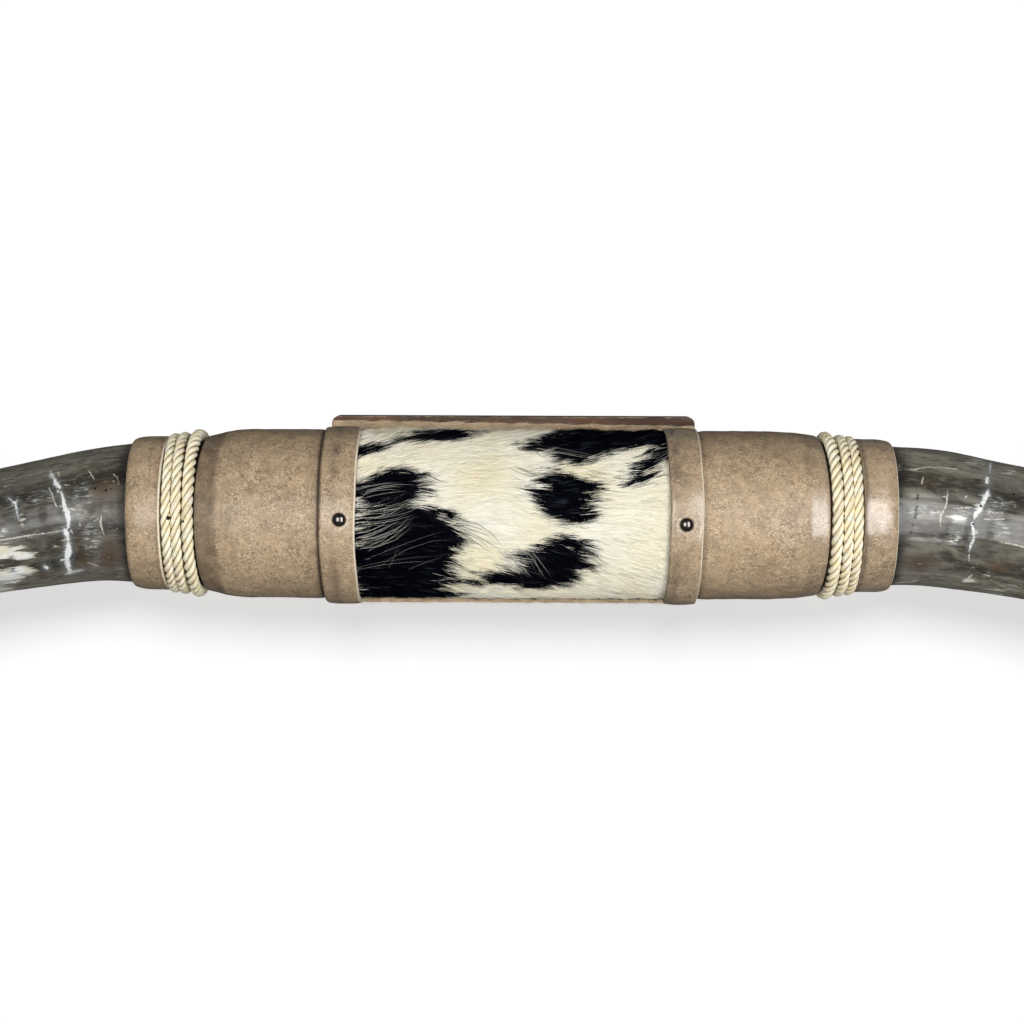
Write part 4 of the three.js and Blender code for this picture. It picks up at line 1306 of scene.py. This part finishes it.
# Outlines of the dark patches as they show in the photo. Past the hide's top and bottom they go on round it.
hidePatches = {
    "topStreak": [(386, 443), (396, 438), (410, 432), (437, 428), (457, 426), (480, 431), (470, 436),
                  (459, 439), (448, 442.5), (433, 443), (414, 442), (400, 445)],
    "topCorner": [(352, 452), (358, 446), (372, 443), (388, 444), (381, 450), (370, 455), (352, 462)],
    "topBand": [(512, 446), (529, 438), (551, 430), (560, 405), (690, 405), (690, 446), (658, 448),
                (640, 448), (618, 450), (603, 457), (592, 462), (578, 466), (563, 464), (551, 458),
                (540, 452), (526, 450)],
    "rightDiagonal": [(676, 444), (656, 448), (645, 452), (633, 462), (626, 472), (623, 480), (629, 488),
                      (641, 490), (650, 483), (653, 474), (662, 463), (676, 458)],
    "rightBlob": [(535, 475), (544, 470), (556, 467), (570, 472), (585, 478), (600, 487), (592, 492),
                  (602, 500), (593, 507), (600, 522), (584, 524), (571, 526), (556, 523), (547, 518),
                  (540, 508), (535, 498), (533, 486)],
    "lowerDiagonal": [(457, 583), (472, 577), (490, 571), (503, 566), (512, 558), (508, 553), (518, 550),
                      (530, 549), (544, 543), (551, 538), (562, 532), (576, 535), (586, 540), (581, 546),
                      (590, 553), (583, 558), (592, 565), (584, 572), (577, 578), (564, 583), (551, 588),
                      (537, 590), (524, 590), (511, 586), (497, 585), (474, 587)],
    "leftUpper": [(352, 486), (366, 480), (375, 475), (388, 468), (401, 466), (415, 470), (428, 476),
                  (422, 483), (427, 489), (420, 496), (410, 500), (406, 506), (394, 503), (383, 499),
                  (370, 498), (352, 498)],
    "leftLower": [(352, 536), (366, 530), (380, 521), (394, 515), (411, 507), (431, 503), (443, 506),
                  (453, 517), (463, 528), (466, 541), (459, 551), (454, 562), (450, 574), (446, 584),
                  (441, 592), (434, 610), (352, 625)],
    "bottomStreak": [(420, 590), (440, 591), (458, 592), (462, 595), (450, 604), (430, 606)],
}
# Where black and pale hairs mix, and how much of the mix is black.
hideMixed = {"leftMiddle": ([(352, 494), (388, 496), (411, 502), (402, 514), (380, 528), (352, 540)], 0.94)}
# The way that the hair lies, in degrees above level, at some places in the photo.
hideCombing = [
    (362, 448, 27), (420, 438, 12), (470, 436, -4), (560, 440, -4), (640, 440, 3), (660, 455, 30),
    (640, 478, 16), (400, 480, 4), (380, 520, 14), (370, 560, 14), (430, 540, -12), (420, 590, -4),
    (470, 480, 0), (500, 520, -8), (570, 500, 2), (520, 560, -16), (560, 580, -12), (620, 520, -8),
    (640, 570, -16), (660, 590, -30), (600, 470, 6),
]
# Long pale hairs over the dark patches: start, end and bend in pixels, and how many. Those that cross the
# edge of a strap or stand along the top and bottom also have how far their tips rise, in millimetres.
hideWisps = [
    ((362, 551), (406, 520), 4, 5), ((360, 546), (412, 526), 4, 4), ((376, 562), (450, 538), -6, 2),
    ((388, 568), (400, 545), 2, 1), ((358, 570), (450, 561), -5, 2), ((360, 524), (416, 514), 4, 5),
    ((356, 536), (398, 520), 3, 6), ((358, 512), (402, 500), 3, 6), ((404, 570), (440, 558), -3, 1),
    ((508, 552), (532, 579), -2, 7), ((530, 546), (552, 576), -2, 4), ((512, 556), (524, 572), -2, 4),
    ((540, 446), (600, 455), 3, 6), ((536, 452), (560, 470), 2, 4), ((358, 494), (400, 488), -2, 6),
    ((652, 461), (680, 450), 2, 4, 4.6), ((656, 540), (676, 552), 2, 3, 4.6),
    ((650, 432), (674, 444), 2, 3, 4.6), ((648, 566), (673, 572), 1, 2, 4.6),
    ((650, 500), (674, 505), -1, 2, 4.6), ((380, 438), (408, 429), 2, 14, 2.6),
    ((424, 434), (456, 428), 2, 16, 2.4), ((476, 434), (512, 429), 1, 16, 2.4),
    ((510, 433), (542, 429), -1, 12, 2.2), ((468, 596), (500, 600), 1, 12, 2.0),
    ((540, 596), (576, 601), 1, 12, 2.2), ((600, 596), (634, 600), -1, 12, 2.0),
]
# Long dark hairs over the pale ones, in the same way.
hideDarkWisps = [
    ((448, 522), (502, 553), -6, 3), ((452, 528), (482, 540), -4, 6), ((584, 486), (612, 492), 2, 6),
    ((588, 504), (612, 506), 2, 5), ((578, 548), (604, 566), -2, 7), ((580, 562), (600, 576), -2, 5),
    ((420, 476), (446, 486), 2, 6), ((446, 560), (470, 574), -2, 6), ((444, 580), (466, 588), -2, 5),
    ((590, 474), (616, 480), 2, 4), ((510, 470), (538, 480), 2, 5), ((490, 572), (470, 584), 2, 4),
    ((556, 434), (590, 428), 1, 14, 2.4), ((604, 434), (640, 428), 1, 14, 2.6),
    ((636, 434), (662, 429), 1, 10, 2.2),
]


# Across and round on the hide, in millimetres, of a place in the photo. A ray to the cylinder gives the angle
# asin(d k / (r sqrt(1 + k^2))) - atan k, with d the distance, r the radius and k the slope; past the
# outline it goes on at an even rate.
def onHide(places):
    places = np.array(places, float)
    radius, distance = hideForm["radius"], eye["distance"] / mm
    zoom = eye["picture"] * eye["lens"] / eye["sensor"]
    level = eye["axisRow"] + math.tan(math.radians(eye["roll"])) * (places[..., 0] - eye["picture"] / 2)
    k = (level - places[..., 1]) / zoom
    reach = distance * k / (radius * np.sqrt(1 + k * k))
    inside = np.clip(reach, -hideForm["grazing"], hideForm["grazing"])
    seen = np.arcsin(inside) - np.arctan(k)
    depth = distance - radius * np.cos(seen)
    across = (places[..., 0] - eye["axisColumn"]) * depth / zoom
    round_ = radius * (seen + math.radians(eye["elevation"])) + (reach - inside) * hideForm["pastOutline"]
    return np.stack([across, round_], -1)


# Points on the hide from across, round and height above the axis.
def fromHide(across, round_, height):
    return roundAxis(across, height, round_ / hideForm["radius"])


# The share of dark hair that grows at places on the hide. What shows grew further left by the root shift,
# and each lock a little more or less, so that the borders are spiky along the hair.
def darkAt(spots, dice, lockShift=0.0):
    heading = combing(spots)
    shift = hideForm["rootShift"] + lockShift
    tested = spots + np.column_stack([shift * np.cos(heading), shift * np.sin(heading) * 0.6])
    tested = tested + dice.normal(0, (1.5, 0.7), spots.shape)
    dark = np.zeros(len(spots))
    for outline in hidePatches.values():
        dark[insideOutline(tested, onHide(outline))] = 1
    for outline, share in hideMixed.values():
        dark[insideOutline(tested, onHide(outline)) & (dark == 0)] = share
    return dark


# The way the hair lies, from the places nearby where it is known, each weighted by 1 / distance^4.
def combing(spots):
    hints = np.array(hideCombing, float)
    known = onHide(hints[:, :2])
    distance = ((spots[:, None] - known[None]) ** 2).sum(-1) + 30
    weight = distance ** -2
    return np.radians((weight * hints[:, 2]).sum(1) / weight.sum(1))


# Hair: each strand leaves its root along the combing, is drawn towards the tip of its clump and lies on the
# coat below it, highest at its tip.
def makeHair():
    form = hideForm
    dice = np.random.default_rng(form["seed"])
    count = form["strands"]
    reach = form["reach"] * form["radius"]
    spots = np.column_stack([dice.uniform(-form["halfLength"], form["halfLength"] - 2, count),
                             dice.uniform(-reach, reach, count)])
    spots = spots[np.argsort(spots[:, 0])]
    lies = combing(spots) + 0.12 * ripple(spots, 34, 61) + 0.1 * ripple(spots, 11, 62)
    lines, tipPull = np.zeros((count, 2)), np.zeros((count, 2))
    # clump middles are the cells of two shaken grids, small locks within larger tufts
    for size, share, seed in ((form["clump"], 0.7, 63), (form["tuft"], 0.27, 64)):
        cells = np.floor(spots / (size * 1.5, size)).astype(int)
        shake = np.random.default_rng(seed).uniform(0.1, 0.9, (400, 2))
        middle = (cells + shake[(cells[:, 0] * 31 + cells[:, 1] * 57) % 400]) * (size * 1.5, size)
        tipPull += (middle - spots) * (share * dice.uniform(0.4, 1.2, count))[:, None]
    lies = lies + dice.normal(0, 0.07, count)
    locks = np.random.default_rng(66).uniform(-1, 1, (997, 2))
    cells = np.floor(spots / (form["clump"] * 1.5, form["clump"])).astype(int)
    lock = locks[(cells[:, 0] * 131 + cells[:, 1] * 17) % 997]
    lockLength = 1 + 0.2 * lock[:, 0]
    length = dice.uniform(*form["length"], count) * lockLength
    heading = np.column_stack([np.cos(lies), np.sin(lies)])
    across = np.column_stack([-np.sin(lies), np.cos(lies)])
    bend = dice.normal(0, 0.7, count)
    t = np.array([0, 0.36, 0.72, 1.0])
    flatLines = (spots[:, None] + heading[:, None] * (length[:, None] * t)[..., None]
                 + across[:, None] * (bend[:, None] * t ** 2)[..., None]
                 + tipPull[:, None] * (t ** 1.4)[None, :, None])
    # stay on the hide: lie down under the straps and stop at the band's ends
    thick = 1 + 0.3 * ripple(spots, 9, 67)
    for at, extra, half in form["tufts"]:
        fromTuft = spots[:, 0] + 7 - onHide((at, 431))[0]
        thick = thick + extra * hump(fromTuft, half * 0.72) * smoothStep(50, 72, spots[:, 1])
    lift = form["undercoat"] + form["coat"] * thick * dice.beta(2.0, 2.2, count)
    loose = dice.random(count) < 0.025
    lift = np.where(loose, lift + dice.uniform(0.3, 1.3, count), lift)
    height = form["skinOuter"] + lift[:, None] * np.array([0.0, 0.5, 0.86, 1.0])
    pressed = smoothStep(form["strapFrom"] - 5, form["strapFrom"], np.abs(flatLines[..., 0]))
    height = height + pressed * (np.minimum(height, form["underStrap"]) - height)
    flatLines[..., 0] = np.minimum(flatLines[..., 0], form["halfLength"])
    flatLines[..., 1] = np.clip(flatLines[..., 1], -reach, reach)
    lines = fromHide(flatLines[..., 0], flatLines[..., 1], height)
    roll = dice.normal(0, 0.75, count)
    outward = roundAxis(0, 1, spots[:, 1] / form["radius"])
    beside = np.cross(outward, (1, 0, 0))
    facing = np.cos(roll)[:, None] * outward + np.sin(roll)[:, None] * beside
    halfWidths = form["halfWidth"] * dice.uniform(0.7, 1.3, count)[:, None] * np.array([1.0, 0.95, 0.6, 0])
    isDark = dice.random(count) < darkAt(spots, dice, form["lockShift"] * lock[:, 1])
    tone = hairTones(spots, isDark, dice)
    order = np.array_split(np.arange(count), form["pieces"])
    for number, some in enumerate(order, 1):
        points, faces = ribbons(lines[some], halfWidths[some], facing[some])
        # painted shade: each strand darker towards its root, where the coat shades it
        rootShadedTones = np.repeat(tone[some], 7, 0).reshape(-1, 7, 4)
        rootShadedTones[..., :3] *= np.array([0.76, 0.93, 1, 0.76, 0.93, 1, 1.03])[None, :, None]
        piece = addPiece(f"hide_hair_{number}", points, faces, values={"tone": rootShadedTones.reshape(-1, 4)},
                         closed=False)
        finishPiece(piece, hair, "hair_on_hide", "cowhide_panel")


# Strand colours: ivory to cream, and blue-black, each a little different.
def hairTones(spots, isDark, dice):
    form = hideForm
    count = len(spots)
    creamy = np.clip(0.4 + 0.35 * ripple(spots, 60, 71) + dice.normal(0, 0.25, count), 0, 1)[:, None]
    pale = np.array(form["ivory"]) * (1 - creamy) + np.array(form["cream"]) * creamy
    pale[:, :3] *= dice.uniform(0.88, 1.04, count)[:, None]
    black = np.array(form["black"]) * dice.uniform(0.5, 2.4, count)[:, None]
    # locks of black hair that catch the light
    glinting = (dice.random(count) < 0.26 * smoothStep(0.35, 0.95, ripple(spots * (0.35, 1), 5, 73)))[:, None]
    black = np.where(glinting, np.array(form["glint"]) * dice.uniform(0.4, 1.1, count)[:, None], black)
    tone = np.where(isDark[:, None], black, pale)
    tone[:, 3] = 1
    return tone


# Long wisps: a fan of fine hairs along each hint, bent to one side and lying on top of the coat.
def makeWisps(name, hints, colour, wide, seed):
    dice = np.random.default_rng(seed)
    lines, faceOut, tones = [], [], []
    t = np.linspace(0, 1, 4)
    for start, stop, bend, count, *rise in hints:
        a, b = onHide(start), onHide(stop)
        side = np.array([-(b - a)[1], (b - a)[0]]) / np.linalg.norm(b - a)
        # the hairs of a fan stay side by side
        stray = dice.normal(0, 1, (count, 2))
        roots = a + stray * (4.0, 2.2)
        tips = b + stray * (4.0, 2.6) + dice.normal(0, (2.5, 0.9), (count, 2))
        bow = bend * 0.7 * dice.uniform(0.3, 1.5, count)
        path = (roots[:, None] * (1 - t)[None, :, None] + tips[:, None] * t[None, :, None]
                - side * (bow[:, None] * (4 * t * (1 - t)))[..., None])
        arch = 0.7 * np.sin(math.pi * np.clip(t * 0.8 + 0.1, 0, 1))[None]
        height = hideForm["underStrap"] + arch + dice.uniform(-0.3, 0.5, (count, 1))
        height = height + sum(rise) * smoothStep(0, 0.6, t)
        lines.append(fromHide(path[..., 0], path[..., 1], height))
        faceOut.append(roundAxis(0, 1, roots[:, 1] / hideForm["radius"]))
        tones.append(dice.uniform(0.12, 0.8, count))
    lines, faceOut, tones = np.concatenate(lines), np.concatenate(faceOut), np.concatenate(tones)
    halfWidths = wide * dice.uniform(0.6, 1.3, len(lines))[:, None] * np.array([0.7, 1.0, 0.7, 0])
    points, faces = ribbons(lines, halfWidths, faceOut)
    tone = np.repeat(np.array(colour)[None] * tones[:, None], 7, 0)
    tone[:, 3] = 1
    piece = addPiece(name, points, faces, values={"tone": tone}, closed=False)
    finishPiece(piece, hair, "hair_on_hide", "cowhide_panel")


# The skin: a thin band, its outline of two layers carried round from one end to the other.
def makeSkin():
    form = hideForm
    profile = rounded([(-form["halfLength"], form["skinInner"], 0.1, 0),
                       (-form["halfLength"], form["skinOuter"], 0.2, 0),
                       (form["halfLength"], form["skinOuter"], 0.2, 0),
                       (form["halfLength"], form["skinInner"], 0.1, 0)], 3.4)
    angle = np.linspace(-form["reach"], form["reach"], 141)
    x, radius, turned = np.broadcast_arrays(profile[None, :, 0], profile[None, :, 1], angle[:, None])
    points, faces, uv = tubeFaces(roundAxis(x, radius, turned))
    round_ = np.arctan2(points[:, 2], -points[:, 1]) * form["radius"]
    dark = darkAt(np.column_stack([points[:, 0], round_]), np.random.default_rng(9)) > 0.5
    tone = np.where(dark[:, None], np.array(linear(24, 23, 25)), np.array(linear(226, 214, 186)))
    piece = addPiece("hide_skin", points, faces, uv, {"tone": tone})
    finishPiece(piece, skin, "hair_on_hide", "cowhide_panel")


makeSkin()
makeHair()
makeWisps("hide_wisps_pale", hideWisps, hideForm["ivory"], 0.085, 81)
makeWisps("hide_wisps_dark", hideDarkWisps, hideForm["black"], 0.13, 82)
print("hide made")


# Straps and studs

strapForm = {
    "inner": 60.8, "outer": 63.9, "crown": 0.75, "ripple": 0.22, "around": 300, "rawCut": 0.95,
    "dimple": 0.9, "dimpleWidth": 6.5, "stain": 0.75, "darkenAt": {"left": 0.2, "right": 0.6}, "step": 0.8,
    "shine": {"left": 0.3, "right": 0.9}, "topPress": {"left": 1.8, "right": 2.2},
    "topAt": (48, 78),      # degrees up from the front, where it comes to lie flat
}
studForm = {"radius": 4.9, "height": 3.3, "around": 48, "raised": {"left": math.radians(2.2), "right": 0.0}}


# A strap: a rounded strip carried round the front of the core to the flat behind, where it meets the board.
def makeStrap(side, sign):
    form = strapForm
    low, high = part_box(f"strap_{side}")
    left, right = low.x / mm, high.x / mm
    studLow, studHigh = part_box(f"stud_{side}")
    studAt = (studLow.x + studHigh.x) / 2 / mm
    cut = form["rawCut"]
    outer = form["outer"]
    # only the right-hand raw edge is pale, a painted highlight where it faces the key light
    profile = rounded([(left, form["inner"], 0.2, 0), (left, outer - cut, 0.4, 0),
                       (left + cut, outer, 0.7, 0), (right - cut * 1.1, outer, 0.5, 1),
                       (right, outer - cut * 0.9, 0.4, 1), (right, form["inner"], 0.2, 0)], form["step"])
    share = np.linspace(-1, 1, form["around"])
    x, radius, share = np.broadcast_arrays(profile[None, :, 0], profile[None, :, 1], share[:, None])
    top = smoothStep(form["inner"] + 1, form["outer"], radius)
    across = (x - (left + right) / 2) / (right - left) * 2
    angle = share * (math.pi - np.arccos(flat / radius))
    radius = radius + top * form["crown"] * (1 - across ** 2)
    radius = radius + top * leatherRipple(x, angle, 90 + sign, form["ripple"])
    # it lies flatter over the top of the core
    radius = radius - top * form["topPress"][side] * smoothStep(*np.radians(form["topAt"]), angle)
    fromStud = np.hypot(x - studAt, (angle - studForm["raised"][side]) * 62)
    radius = radius - top * form["dimple"] * hump(fromStud, form["dimpleWidth"])
    angle = share * (math.pi - np.arccos(flat / radius))
    waver = 0.3 * np.sin(3 * angle + sign) + 0.2 * np.sin(7 * angle)
    points, faces, uv = tubeFaces(roundAxis(x + waver, radius, angle))
    # painted highlight: a pale ring round the stud, where its dimple catches the key light; and darker in a
    # band down the strap above and below the stud
    pressed = 0.5 * hump(fromStud - 6.3, 1.2) * top
    rawEdgeAndRing = np.maximum(np.broadcast_to(profile[None, :, 2], across.shape), pressed)
    edge = np.append(rawEdgeAndRing.ravel(), [0.5, 0.5])
    awayFromStud = 0.2 + 0.8 * smoothStep(12, 34, np.abs(angle) * 62)
    stain = form["stain"] * hump(across + form["darkenAt"][side], 0.28) * awayFromStud
    stain = stain * (0.7 + 0.4 * ripple(angle[..., None] * 60, 26, 97))
    # painted shadow along the strap's left edge
    stain = stain + 0.7 * smoothStep(-0.88, -1.0, across)
    stain = np.append(np.clip(stain, 0, 1).ravel(), [0, 0])
    shine = np.append(form["shine"][side] * (1 - 0.5 * rawEdgeAndRing).ravel(), [0, 0])
    values = {"edge": edge, "stain": stain, "shine": shine}
    piece = addPiece(f"strap_{side}_leather", points, faces, uv, values)
    finishPiece(piece, leather, "leather", f"strap_{side}")
    head, faces = roundHead(studForm["radius"], studForm["height"], studForm["around"], 18.0, 18)
    placed = turnOut(head + (studAt, -(form["outer"] - 0.1), 0), studForm["raised"][side])
    stud = addPiece(f"stud_{side}_dome", placed, faces)
    finishPiece(stud, studMetal, "stud", f"stud_{side}")


for side, sign in sides.items():
    makeStrap(side, sign)
print("straps and studs made")


# Back board, its suede facing, the core and the fixings

# A copy of a node's mesh with its loose triangles joined, and its edges softened by a bevel.
def softenedCopy(name, nodeName, width):
    piece = addObject(name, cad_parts[nodeName].data.copy())
    joined = piece.modifiers.new("join", "WELD")
    joined.merge_threshold = 1e-5
    bevel = piece.modifiers.new("soften", "BEVEL")
    bevel.width, bevel.segments = width * mm, 2
    bevel.limit_method, bevel.angle_limit = "ANGLE", math.radians(62)
    bevel.harden_normals = False
    return piece


board = softenedCopy("back_board_stained", "back_board", 1.2)
finishPiece(board, boardWood, "board_wood", "back_board")
hanger = softenedCopy("hanger_plate_soft", "hanger_plate", 0.25)
finishPiece(hanger, steel, "steel", "hanger_plate")

facingForm = {"step": 1.5, "thick": 2.6, "topSlope": 3.6, "wavy": 0.32, "bottomDrop": 1.3, "nap": 4200,
              "fibreLength": (2.5, 7.5)}


# The facing: a thin rounded strip from bottom to top of the board, carried along X, with wandering edges.
def makeFacing():
    left, right = facingLow.x / mm, facingHigh.x / mm
    front, back = facingLow.y / mm + axisOut, facingHigh.y / mm + axisOut
    bottom, top = facingLow.z / mm, facingHigh.z / mm
    x = np.arange(left, right + 0.01, facingForm["step"])
    slope = facingForm["topSlope"] * (x - left) / (right - left)
    topAt = top - slope + facingForm["wavy"] * ripple(x[:, None], 23, 101)
    bottomAt = bottom - facingForm["bottomDrop"] + 0.35 * np.abs(ripple(x[:, None], 31, 102))
    thick = facingForm["thick"]      # its profile runs from 0 to 100 upwards, and then to its real height
    profile = rounded([(0, 0, 0.7, 0), (100, 0, 0.9, 0), (100, thick, 0.4, 0), (0, thick, 0.4, 0)], 2.0)
    up = bottomAt[:, None] + profile[None, :, 0] / 100 * (topAt - bottomAt)[:, None]
    deep = front + profile[None, :, 1] / thick * (back - front) + 0 * up
    across = x[:, None] + 0 * up
    nap = 0.22 * ripple(np.stack([across, up], -1), 7, 103) * (profile[None, :, 1] < thick / 2)
    points, faces, uv = tubeFaces(np.stack([across, deep + np.maximum(nap, -0.2), up], -1))
    piece = addPiece("board_facing_suede", points, faces, uv)
    finishPiece(piece, suede, "suede", "board_facing")
    return left, right, front, topAt, bottomAt, x


# Nap of the suede where it shows above and below the hide: short fibres that lie over in slanting strokes.
def makeNap(left, right, front, topAt, bottomAt, x):
    dice = np.random.default_rng(111)
    count = facingForm["nap"]
    at = dice.uniform(left + 2, right - 4, count)
    above = dice.random(count) < 0.6
    inset = dice.uniform(0.4, 8.0, count)
    up = np.where(above, np.interp(at, x, topAt) - inset, np.interp(at, x, bottomAt) + inset)
    lies = np.where(above, dice.normal(0.1, 0.24, count), dice.normal(-0.35, 0.3, count))
    lies = np.where(dice.random(count) < 0.3, -lies, lies)
    length = dice.uniform(*facingForm["fibreLength"], count)
    t = np.linspace(0, 1, 4)
    off = 0.1 + dice.uniform(0.1, 0.8, count)[:, None] * t
    curl = dice.normal(0, 0.7, count)[:, None] * t ** 2
    lines = np.stack([at[:, None] + (length * np.cos(lies))[:, None] * t, front - off,
                      up[:, None] + (length * np.sin(lies))[:, None] * t + curl], -1)
    facing = np.tile([0.0, -1.0, 0.0], (count, 1)) + dice.normal(0, 0.3, (count, 3))
    halfWidths = 0.11 * dice.uniform(0.6, 1.4, count)[:, None] * np.array([1.0, 0.9, 0.6, 0])
    points, faces = ribbons(lines, halfWidths, facing)
    shade = dice.random(count)[:, None]
    tone = np.array(suedeLook["dark"]) * (1 - shade) + np.array(linear(226, 214, 190)) * shade
    piece = addPiece("board_facing_nap", points, faces, values={"tone": np.repeat(tone, 7, 0)}, closed=False)
    finishPiece(piece, fibre, "suede")


makeNap(*makeFacing())

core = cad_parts["wood_core"]
core.data.materials.clear()
core.data.materials.append(coreWood)

screwForm = {
    "board": {"head": 4.2, "headHeight": 2.6, "shank": 2.0, "length": 38.0, "cross": 2.5, "slot": 0.55,
              "deep": 1.5},
    "hanger": {"head": 2.6, "headHeight": 1.2, "shank": 1.1, "length": 13.0, "cross": 1.6, "slot": 0.38,
               "deep": 0.8},
    "around": 48, "rings": 72,
}


# A countersunk screw along -Y, turned: head, cone, threaded shank and point, with a cross sunk in its head.
def makeScrew(nodeName, size):
    low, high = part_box(nodeName)
    middleX, middleZ, top = (low.x + high.x) / 2 / mm, (low.z + high.z) / 2 / mm, high.y / mm + axisOut
    turned = np.linspace(0, roundTurn, screwForm["around"], endpoint=False)
    flatRadii = np.linspace(0.12, 1, 22)[:, None] * size["head"] + 0 * turned
    crossX, crossZ = flatRadii * np.cos(turned), flatRadii * np.sin(turned)
    arm = np.minimum(np.abs(crossX), np.abs(crossZ))
    sunk = smoothStep(size["slot"], size["slot"] * 0.6, arm)
    sunk = sunk * smoothStep(size["cross"], size["cross"] * 0.75, flatRadii)
    depth = -size["deep"] * sunk - 0.25 * smoothStep(0.9, 1.0, flatRadii / size["head"])
    threaded = np.linspace(size["headHeight"], size["length"] - 4, screwForm["rings"])
    along = np.concatenate([[size["headHeight"] * 0.15], threaded])
    shank = size["shank"] * (0.9 + 0.16 * np.abs(((threaded / (size["shank"] * 0.7)) % 1) * 2 - 1))
    radii = np.concatenate([[size["head"] * 0.98], shank])
    tip = np.array([size["length"] - 2, size["length"] - 0.3])
    radii, along = np.append(radii, [size["shank"] * 0.6, 0.15]), np.append(along, tip)
    wide = radii[:, None]
    sideRings = np.stack([wide * np.cos(turned), -along[:, None] + 0 * turned, wide * np.sin(turned)], -1)
    headRings = np.stack([crossX, depth, crossZ], -1)
    rings = np.concatenate([headRings, sideRings]) + (middleX, top, middleZ)
    points, faces, uv = tubeFaces(rings)
    piece = addPiece(f"{nodeName}_turned", points, faces, uv)
    finishPiece(piece, steel, "steel", nodeName)


for nodeName in sorted(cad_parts):
    if "screw" in nodeName:
        makeScrew(nodeName, screwForm["board" if nodeName.startswith("board") else "hanger"])
print("board and fixings made")


# Stage: a white wall that shows only from the front, a pale floor, and soft studio light

stageForm = {
    "floor": -0.78, "half": 6.0, "wallLow": -3, "wallHigh": 4, "behind": 0.001,
    "wallGlow": 0.625, "wallDiffuse": 0.9, "ambient": 0.09,
    "sun": {"strength": 1.25, "elevation": 28, "softness": 22},
}


# A plane with its four corners given in metres.
def addPlane(name, corners):
    mesh = bpy.data.meshes.new(name)
    mesh.from_pydata(corners, [], [(0, 1, 2, 3)])
    mesh.update()
    plane = addObject(name, mesh)
    return plane


def wallMaterial():
    material = emptyMaterial("wall_white")
    tree = material.node_tree
    glow = node(tree, "Emission", {"Color": (1, 1, 1, 1), "Strength": stageForm["wallGlow"]}).outputs[0]
    matt = node(tree, "BsdfDiffuse", {"Color": (stageForm["wallDiffuse"],) * 3 + (1,)}).outputs[0]
    both = node(tree, "AddShader", {0: glow, 1: matt}).outputs[0]
    clear = node(tree, "BsdfTransparent").outputs[0]
    behind = node(tree, "NewGeometry").outputs["Backfacing"]
    shown = node(tree, "MixShader", {0: behind, 1: both, 2: clear}).outputs[0]
    node(tree, "OutputMaterial", {"Surface": shown})
    return material


def paintFloor(tree):
    soft = noise(tree, objectPlace(tree), 3.0, 2, 0.5)
    return {"Base_Color": blend(tree, soft, linear(232, 231, 229), linear(238, 238, 236))}


half, level, back = stageForm["half"], stageForm["floor"], stageForm["behind"]
wallLow, wallHigh = stageForm["wallLow"], stageForm["wallHigh"]
wall = addPlane("wall", [(-half, back, wallLow), (half, back, wallLow), (half, back, wallHigh),
                         (-half, back, wallHigh)])
wall.data.materials.append(wallMaterial())
wall.visible_shadow = wall.visible_diffuse = wall.visible_glossy = False
floor = addPlane("floor", [(-half, -half, level), (half, -half, level),
                           (half, half, level), (-half, half, level)])
floor.data.materials.append(makeMaterial("floor_pale", paintFloor, Roughness=0.8))
floor.visible_diffuse = floor.visible_glossy = False


# A soft box that faces the middle: place by azimuth, elevation and distance, then size and power.
def addSoftBox(name, azimuth, elevation, distance, size, power):
    data = bpy.data.lights.new(name, "AREA")
    data.shape, data.size, data.size_y = "RECTANGLE", *size
    data.energy = power
    lamp = addObject(name, data)
    a, e = math.radians(azimuth), math.radians(elevation)
    offset = Vector((math.sin(a) * math.cos(e), -math.cos(a) * math.cos(e), math.sin(e))) * distance
    target = Vector((0, -axisOut * mm, 0))
    turn = (target - (target + offset)).to_track_quat("-Z", "Y").to_matrix().to_4x4()
    lamp.matrix_world = Matrix.Translation(target + offset) @ turn
    return lamp


# Keeps a light on the wall and floor, or off the wall.
def linkLight(lamp, onlyStage):
    group = bpy.data.collections.new(lamp.name + "_receivers")
    lamp.light_linking.receiver_collection = group
    group.objects.link(wall)
    if onlyStage:
        group.objects.link(floor)
    else:
        group.collection_objects[0].light_linking.link_state = "EXCLUDE"


# name, azimuth, elevation, distance, size, power, and whether it shows in shiny surfaces
softBoxes = [
    ("key", 27, 4, 1.5, (0.5, 1.35), 12.9, True),
    ("fill_left", -17, 5, 1.7, (0.8, 1.1), 12.0, True),
    ("front", 0, 3, 2.2, (1.6, 0.6), 13.5, False),
    ("behind", 180, -3, 3.0, (1.6, 0.5), 52, False),
]
for name, azimuth, elevation, distance, size, power, shines in softBoxes:
    lamp = addSoftBox(name, azimuth, elevation, distance, size, power)
    lamp.visible_glossy = shines
    linkLight(lamp, False)


# The shadow on the wall comes from its own high, broad light.
def addWallSun(strength, elevation, softness):      # degrees
    data = bpy.data.lights.new("wall_sun", "SUN")
    data.energy, data.angle = strength, math.radians(softness)
    lamp = addObject("wall_sun", data)
    lamp.rotation_euler = (math.radians(90 - elevation), 0, 0)
    linkLight(lamp, True)


addWallSun(**stageForm["sun"])

world = bpy.data.worlds.new("studio")
world.use_nodes = True
background = world.node_tree.nodes["Background"].inputs
background["Color"].default_value = (1, 1, 1, 1)
background["Strength"].default_value = stageForm["ambient"]
bpy.context.scene.world = world
bpy.context.scene.view_settings.view_transform = "Standard"
print("stage and lights made")
